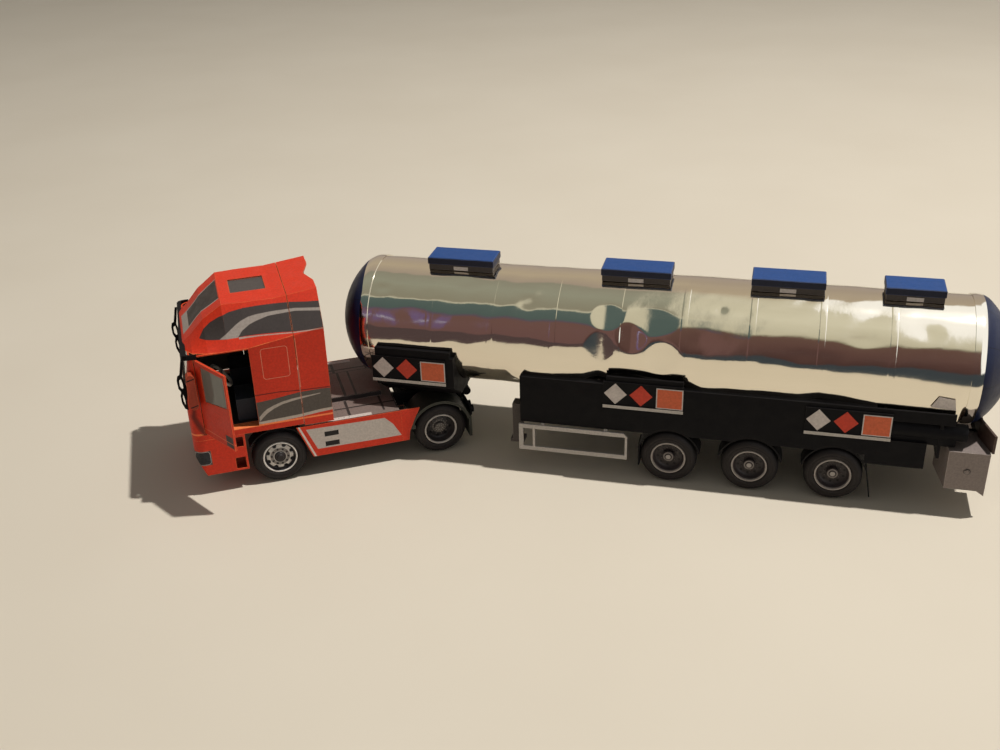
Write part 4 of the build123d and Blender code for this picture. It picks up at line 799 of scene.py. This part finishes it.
locker = thin_frame(tree, x, z, (88.4, 75.7), (7.2, 9.2), 1.6, 0.3)
frame_patch = between(tree, x, y, [(112.6, -14.6, 14.6), (118.0, -13.6, 13.6), (126.0, -11.4, 11.4),
                                   (134.0, -12.6, 12.6)])
patch = between(tree, x, y, [(112.6, -13.6, 13.6), (118.0, -12.5, 12.5), (126.0, -10.2, 10.2),
                             (130.5, -10.6, 10.6)])
grille = thin_frame(tree, y, z, (0.0, 48.0), (26.5, 9.6), 2.5, 0.9)
crease = between(tree, z, x, [(38.2, 129.6, 132.2), (41.8, 131.0, 134.2), (50.3, 134.2, 137.2),
                              (56.0, 133.8, 135.4)], 0.8)
place = add(tree, "TexCoord")
middle = in_row((107.0, 0.0, 75.0), tractor)
away = add(tree, "VectorMath", {0: place.outputs["Object"], 1: tuple(middle)}, operation="SUBTRACT")
facing = add(tree, "VectorMath", {0: away, 1: place.outputs["Normal"]}, operation="DOT_PRODUCT")
# The faces turned to the cab's middle are printed nearly black: painted shade inside the cab.
cab_inside_painted_shade = add(tree, "Math", {0: facing, 1: 0.0}, operation="LESS_THAN")
ink = tone(orange)
for code, *limits in (
    (stripe, on_flank, swoosh), ("#9c928b", on_flank, upper_arc), ("#b09a90", on_flank, underline),
    ("#57504b", on_wall, band), ("#bdb0a6", on_wall, low_strip), ("#b1a69d", on_wall, lower_arc),
    ("#6a1f16", on_wall, dark_line), (light_line, on_wall, locker),
    (light_line, on_wall, (x, 76.2, 76.5), (z, 58.5, 88.5)), ("#a39890", *on_slope, frame_patch),
    (stripe, *on_slope, patch), ("#2a2729", at_front, (wide, 0.0, 26.2), (z, 38.8, 57.2)),
    ("#b0a69e", at_front, grille), ("#231f20", at_front, (wide, 0.0, 36.0), (z, 58.6, 62.0)),
    ("#1d1a1b", cab_inside_painted_shade), (sill_edge_and_highlight, (wide, 32.5, 45.0), (z, 38.3, 39.4)),
    ("#7d2517", (wide, 31.0, 45.0), crease), ("#4c4644", (x, 86.6, 105.9), (wide, 0.0, 9.9), (z, 107.2, 107.8)),
):
    ink = printed(tree, ink, code, *limits)
card_surface(tree, ink, orange_edge, 0.48)
dress(cab_card, "cab_body", "cab_roof", "rear_fairing")

# ---- Doors ----
# Two flat leaves of the same red-orange card, grey inside, each with a printed handle and hem.
# They hinge on their front edges on a strip of card, and the left one stands open.

# The left door's own spot is the tractor's, swung about the hinge.
hinge = np.array([130.9, 38.9])
swing = math.radians(-61.0)
shut_spot = np.array([[math.cos(swing), -math.sin(swing)], [math.sin(swing), math.cos(swing)]]) @ -hinge + hinge
corner = in_row((*shut_spot, 0.0), tractor)
left_door = (corner[0], corner[1], tractor[2] + swing)
for node, spot in (("door_left", left_door), ("door_right", tractor)):
    door_card, tree = bare_material(node + "_printed_card")
    x, y, z, wide = card_places(tree, spot)
    outside = (wide, 37.75, 39.5)
    ink = printed(tree, tone("#6e655f"), orange, outside)
    ink = printed(tree, ink, "#4a4442", outside, (x, 102.9, 109.6), (z, 40.2, 47.0))
    ink = printed(tree, ink, "#e0714c", outside, (z, 42.6, 43.0))
    card_surface(tree, ink, orange_edge, 0.48)
    dress(door_card, node)

# ---- Bumper and mirrors ----
# The bumper is one folded box of the red-orange card, with two step pockets in each cheek, printed
# dark red inside as painted shade, and a dark inlet. The mirrors are small folded boxes of it, printed
# a darker brown-orange as painted shade, with two printed lines, glued to the doorposts.

bumper_card, tree = bare_material("orange_bumper_card")
x, y, z, wide = card_places(tree, tractor)
ink = tone(orange)
# The step pockets are printed dark red: painted shade in the recesses.
for low, high in ((13.5, 20.6), (27.4, 33.6)):
    ink = printed(tree, ink, "#86301f", (x, 111.5, 117.3), (z, low - 0.1, high + 0.1), (wide, 32.5, 38.6))
ink = printed(tree, ink, "#2a2627", (x, 138.0, 139.0), (wide, 0.0, 22.0), (z, 16.5, 30.0))
card_surface(tree, ink, orange_edge, 0.48)
dress(bumper_card, "front_bumper")
mirror_card, tree = bare_material("orange_mirror_card_painted_shade")
x, y, z = millimetres(tree, tractor)
sweep = add(tree, "Math", {0: x, 1: 0.25, 2: z}, operation="MULTIPLY_ADD")
# The mirror's orange is printed a darker brown-orange than the cab's: painted shade.
ink = tone("#a8402a")
for low, high in ((92.2, 92.9), (108.2, 109.0)):
    ink = printed(tree, ink, "#2c1a17", (sweep, low, high))
card_surface(tree, ink, orange_edge, 0.48)
dress(mirror_card, "mirrors")

# ---- Side skirts ----
# Folded troughs of the red-orange card below the deck, printed with a light panel and two black
# slots. The rear of each is cut to a tail that follows the wing over the rear wheels.

skirt_card, tree = bare_material("orange_skirt_card")
x, y, z, wide = card_places(tree, tractor)
outside = (wide, 38.6, 39.5)
panel = between(tree, x, z, [(22.1, 16.9, 17.0), (26.5, 16.9, 25.1), (31.1, 16.9, 30.0), (71.0, 17.3, 30.8),
                             (76.4, 30.6, 30.9)])
lean = add(tree, "Math", {0: z, 1: -0.379, 2: x}, operation="MULTIPLY_ADD")
ink = printed(tree, tone("#3a3433"), orange, outside)
ink = printed(tree, ink, "#c4bbb5", outside, panel)
ink = printed(tree, ink, "#d8d0ca", outside, (lean, 67.2, 68.4))
for low, high in ((18.1, 21.2), (24.5, 27.6)):
    ink = printed(tree, ink, "#151314", outside, (x, 58.3, 66.4), (z, low, high))
card_surface(tree, ink, orange_edge, 0.48)
dress(skirt_card, "side_skirts")
tail = [(17.6, 12.7), (16.8, 18.5), (13.4, 26.5), (10.1, 33.1), (21.5, 33.1), (21.5, 12.7)]
skin("skirt_tails", "tractor", tractor, both_sides(tail, 38.95, -0.6, 0.0, 0.05), skirt_card)

# ---- Deck, chassis, coupling and wings ----
# The deck is printed with grey-brown tread plates held by dark straps. The ladder frame and the
# coupling plate with its ramps are folded from black card, the wings from green-grey card.

# Grey-brown plates under dark straps, with studs every 3 mm, coarser than the print's.
strap = "#332b29"
deck_card, tree = bare_material("deck_printed_card")
x, y, z, wide = card_places(tree, tractor)
walk, flank = (wide, 0.0, 16.2), (wide, 16.3, 34.5)
stud_x = add(tree, "Math", {0: x, 1: 1.5}, operation="PINGPONG")
stud_y = add(tree, "Math", {0: y, 1: 1.5}, operation="PINGPONG")
ink = tone("#7c6d67")
for code, *limits in (
    (strap, walk, (x, 42.4, 43.6)), (strap, walk, (x, 48.6, 50.2)), (strap, flank, (x, 29.6, 30.9)),
    (strap, flank, (x, 49.6, 51.2)), (strap, flank, (x, 22.0, 22.8)),
    (strap, (wide, 24.6, 26.0), (x, 22.0, 58.0)), ("#2a2423", (wide, 15.4, 16.3), (z, 33.2, 36.2)),
    ("#c9beb7", (wide, 34.6, 37.8), (x, 38.0, 77.0), (z, 32.9, 33.2)),
    ("#5e534e", (stud_x, 0.0, 0.3), (stud_y, 0.0, 0.3), (x, 50.5, 77.0)),
):
    ink = printed(tree, ink, code, *limits)
card_surface(tree, ink, "#c7b9b1", 0.55)
dress(deck_card, "deck")
dress(black, "chassis_frame", "axle_carriers", "fifth_wheel", "front_wings", "lamp_bar", "air_tanks",
      "mirror_arms")
wing_card, tree = bare_material("green_grey_printed_card")
card_surface(tree, tone("#34352f"), "#6f6f66", 0.5)
dress(wing_card, "rear_wings")

# ---- Sun visor ----
# A strip of black card bent round the head of the windscreen, with its two corners rounded, glued
# on edge under the roof's hem. Its right end has been pushed back a little.

visor_low, visor_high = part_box("sun_visor")
bottom, top = visor_low.z * 1000 + 0.02, visor_high.z * 1000 - 0.02
brim = [(129.0, 39.4), (134.2, 39.4), (136.4, 38.4), (137.3, 36.4), (135.7, -36.4), (134.8, -38.4),
        (132.8, -39.4), (129.0, -39.4)]
inside = [(129.0, 38.6), (133.4, 38.5), (133.9, 37.6), (134.2, 36.0), (133.6, -36.0), (133.4, -37.6),
          (132.6, -38.5), (129.0, -38.6)]
ring = np.stack([np.column_stack([line, np.full(len(line), z)]) for line, z in
                 ((brim, bottom), (brim, top), (inside, top), (inside, bottom))], 1)
ends = [np.tile(ring[k].mean(0), (1, 4, 1)) for k in (0, -1)]
ring = np.concatenate([ends[0], ring, ends[1]])[:, ::-1]
visor = skin("sun_visor_cards", "tractor", tractor, [(ring, False, True)], black)
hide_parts("sun_visor")

# ---- Glass, lamps and cab fittings ----
# Windows are clear film glued behind the card. Seats, dashboard and steering wheel are small
# folded pieces of dark card; the headlights are printed dark blue-grey with a pale rim.

# Half clear, half greyed polyester: it shows the inside dimly and mirrors the light in smears of 8 mm.
clear, tree = bare_material("clear_film")
place = add(tree, "TexCoord").outputs["Object"]
smear = add(tree, "TexNoise", {"Vector": place, "Scale": 120.0, "Detail": 4.0})
haze = add(tree, "MapRange", {"Value": smear, "To Min": 0.02, "To Max": 0.16})
surface = add(tree, "BsdfPrincipled", {"Base Color": tone("#9b9a93"), "Roughness": haze,
                                       "Transmission Weight": 0.5, "IOR": 1.3})
add(tree, "OutputMaterial", {0: surface})
dress(clear, "windscreen", "door_left_window", "door_right_window")
# The smoothest print on the lorry, and the dullest ones inside the cab.
lens, tree = bare_material("headlight_printed_card")
x, y, z = millimetres(tree, tractor)
rim_line = thin_frame(tree, x, z, (134.5, 23.5), (4.0, 4.1), 1.8, 0.4)
card_surface(tree, printed(tree, tone("#22252b"), "#a39c98", rim_line), "#6d6d72", 0.3)
dress(lens, "headlights")
seat_card, tree = bare_material("blue_black_seat_card")
card_surface(tree, tone("#2e323b"), "#666b76", 0.6)
dress(seat_card, "seats")
dash_card, tree = bare_material("blue_grey_dashboard_card")
card_surface(tree, tone("#4b505a"), "#8b9098", 0.5)
dress(dash_card, "dashboard")
dress(silver, "steering_wheel")
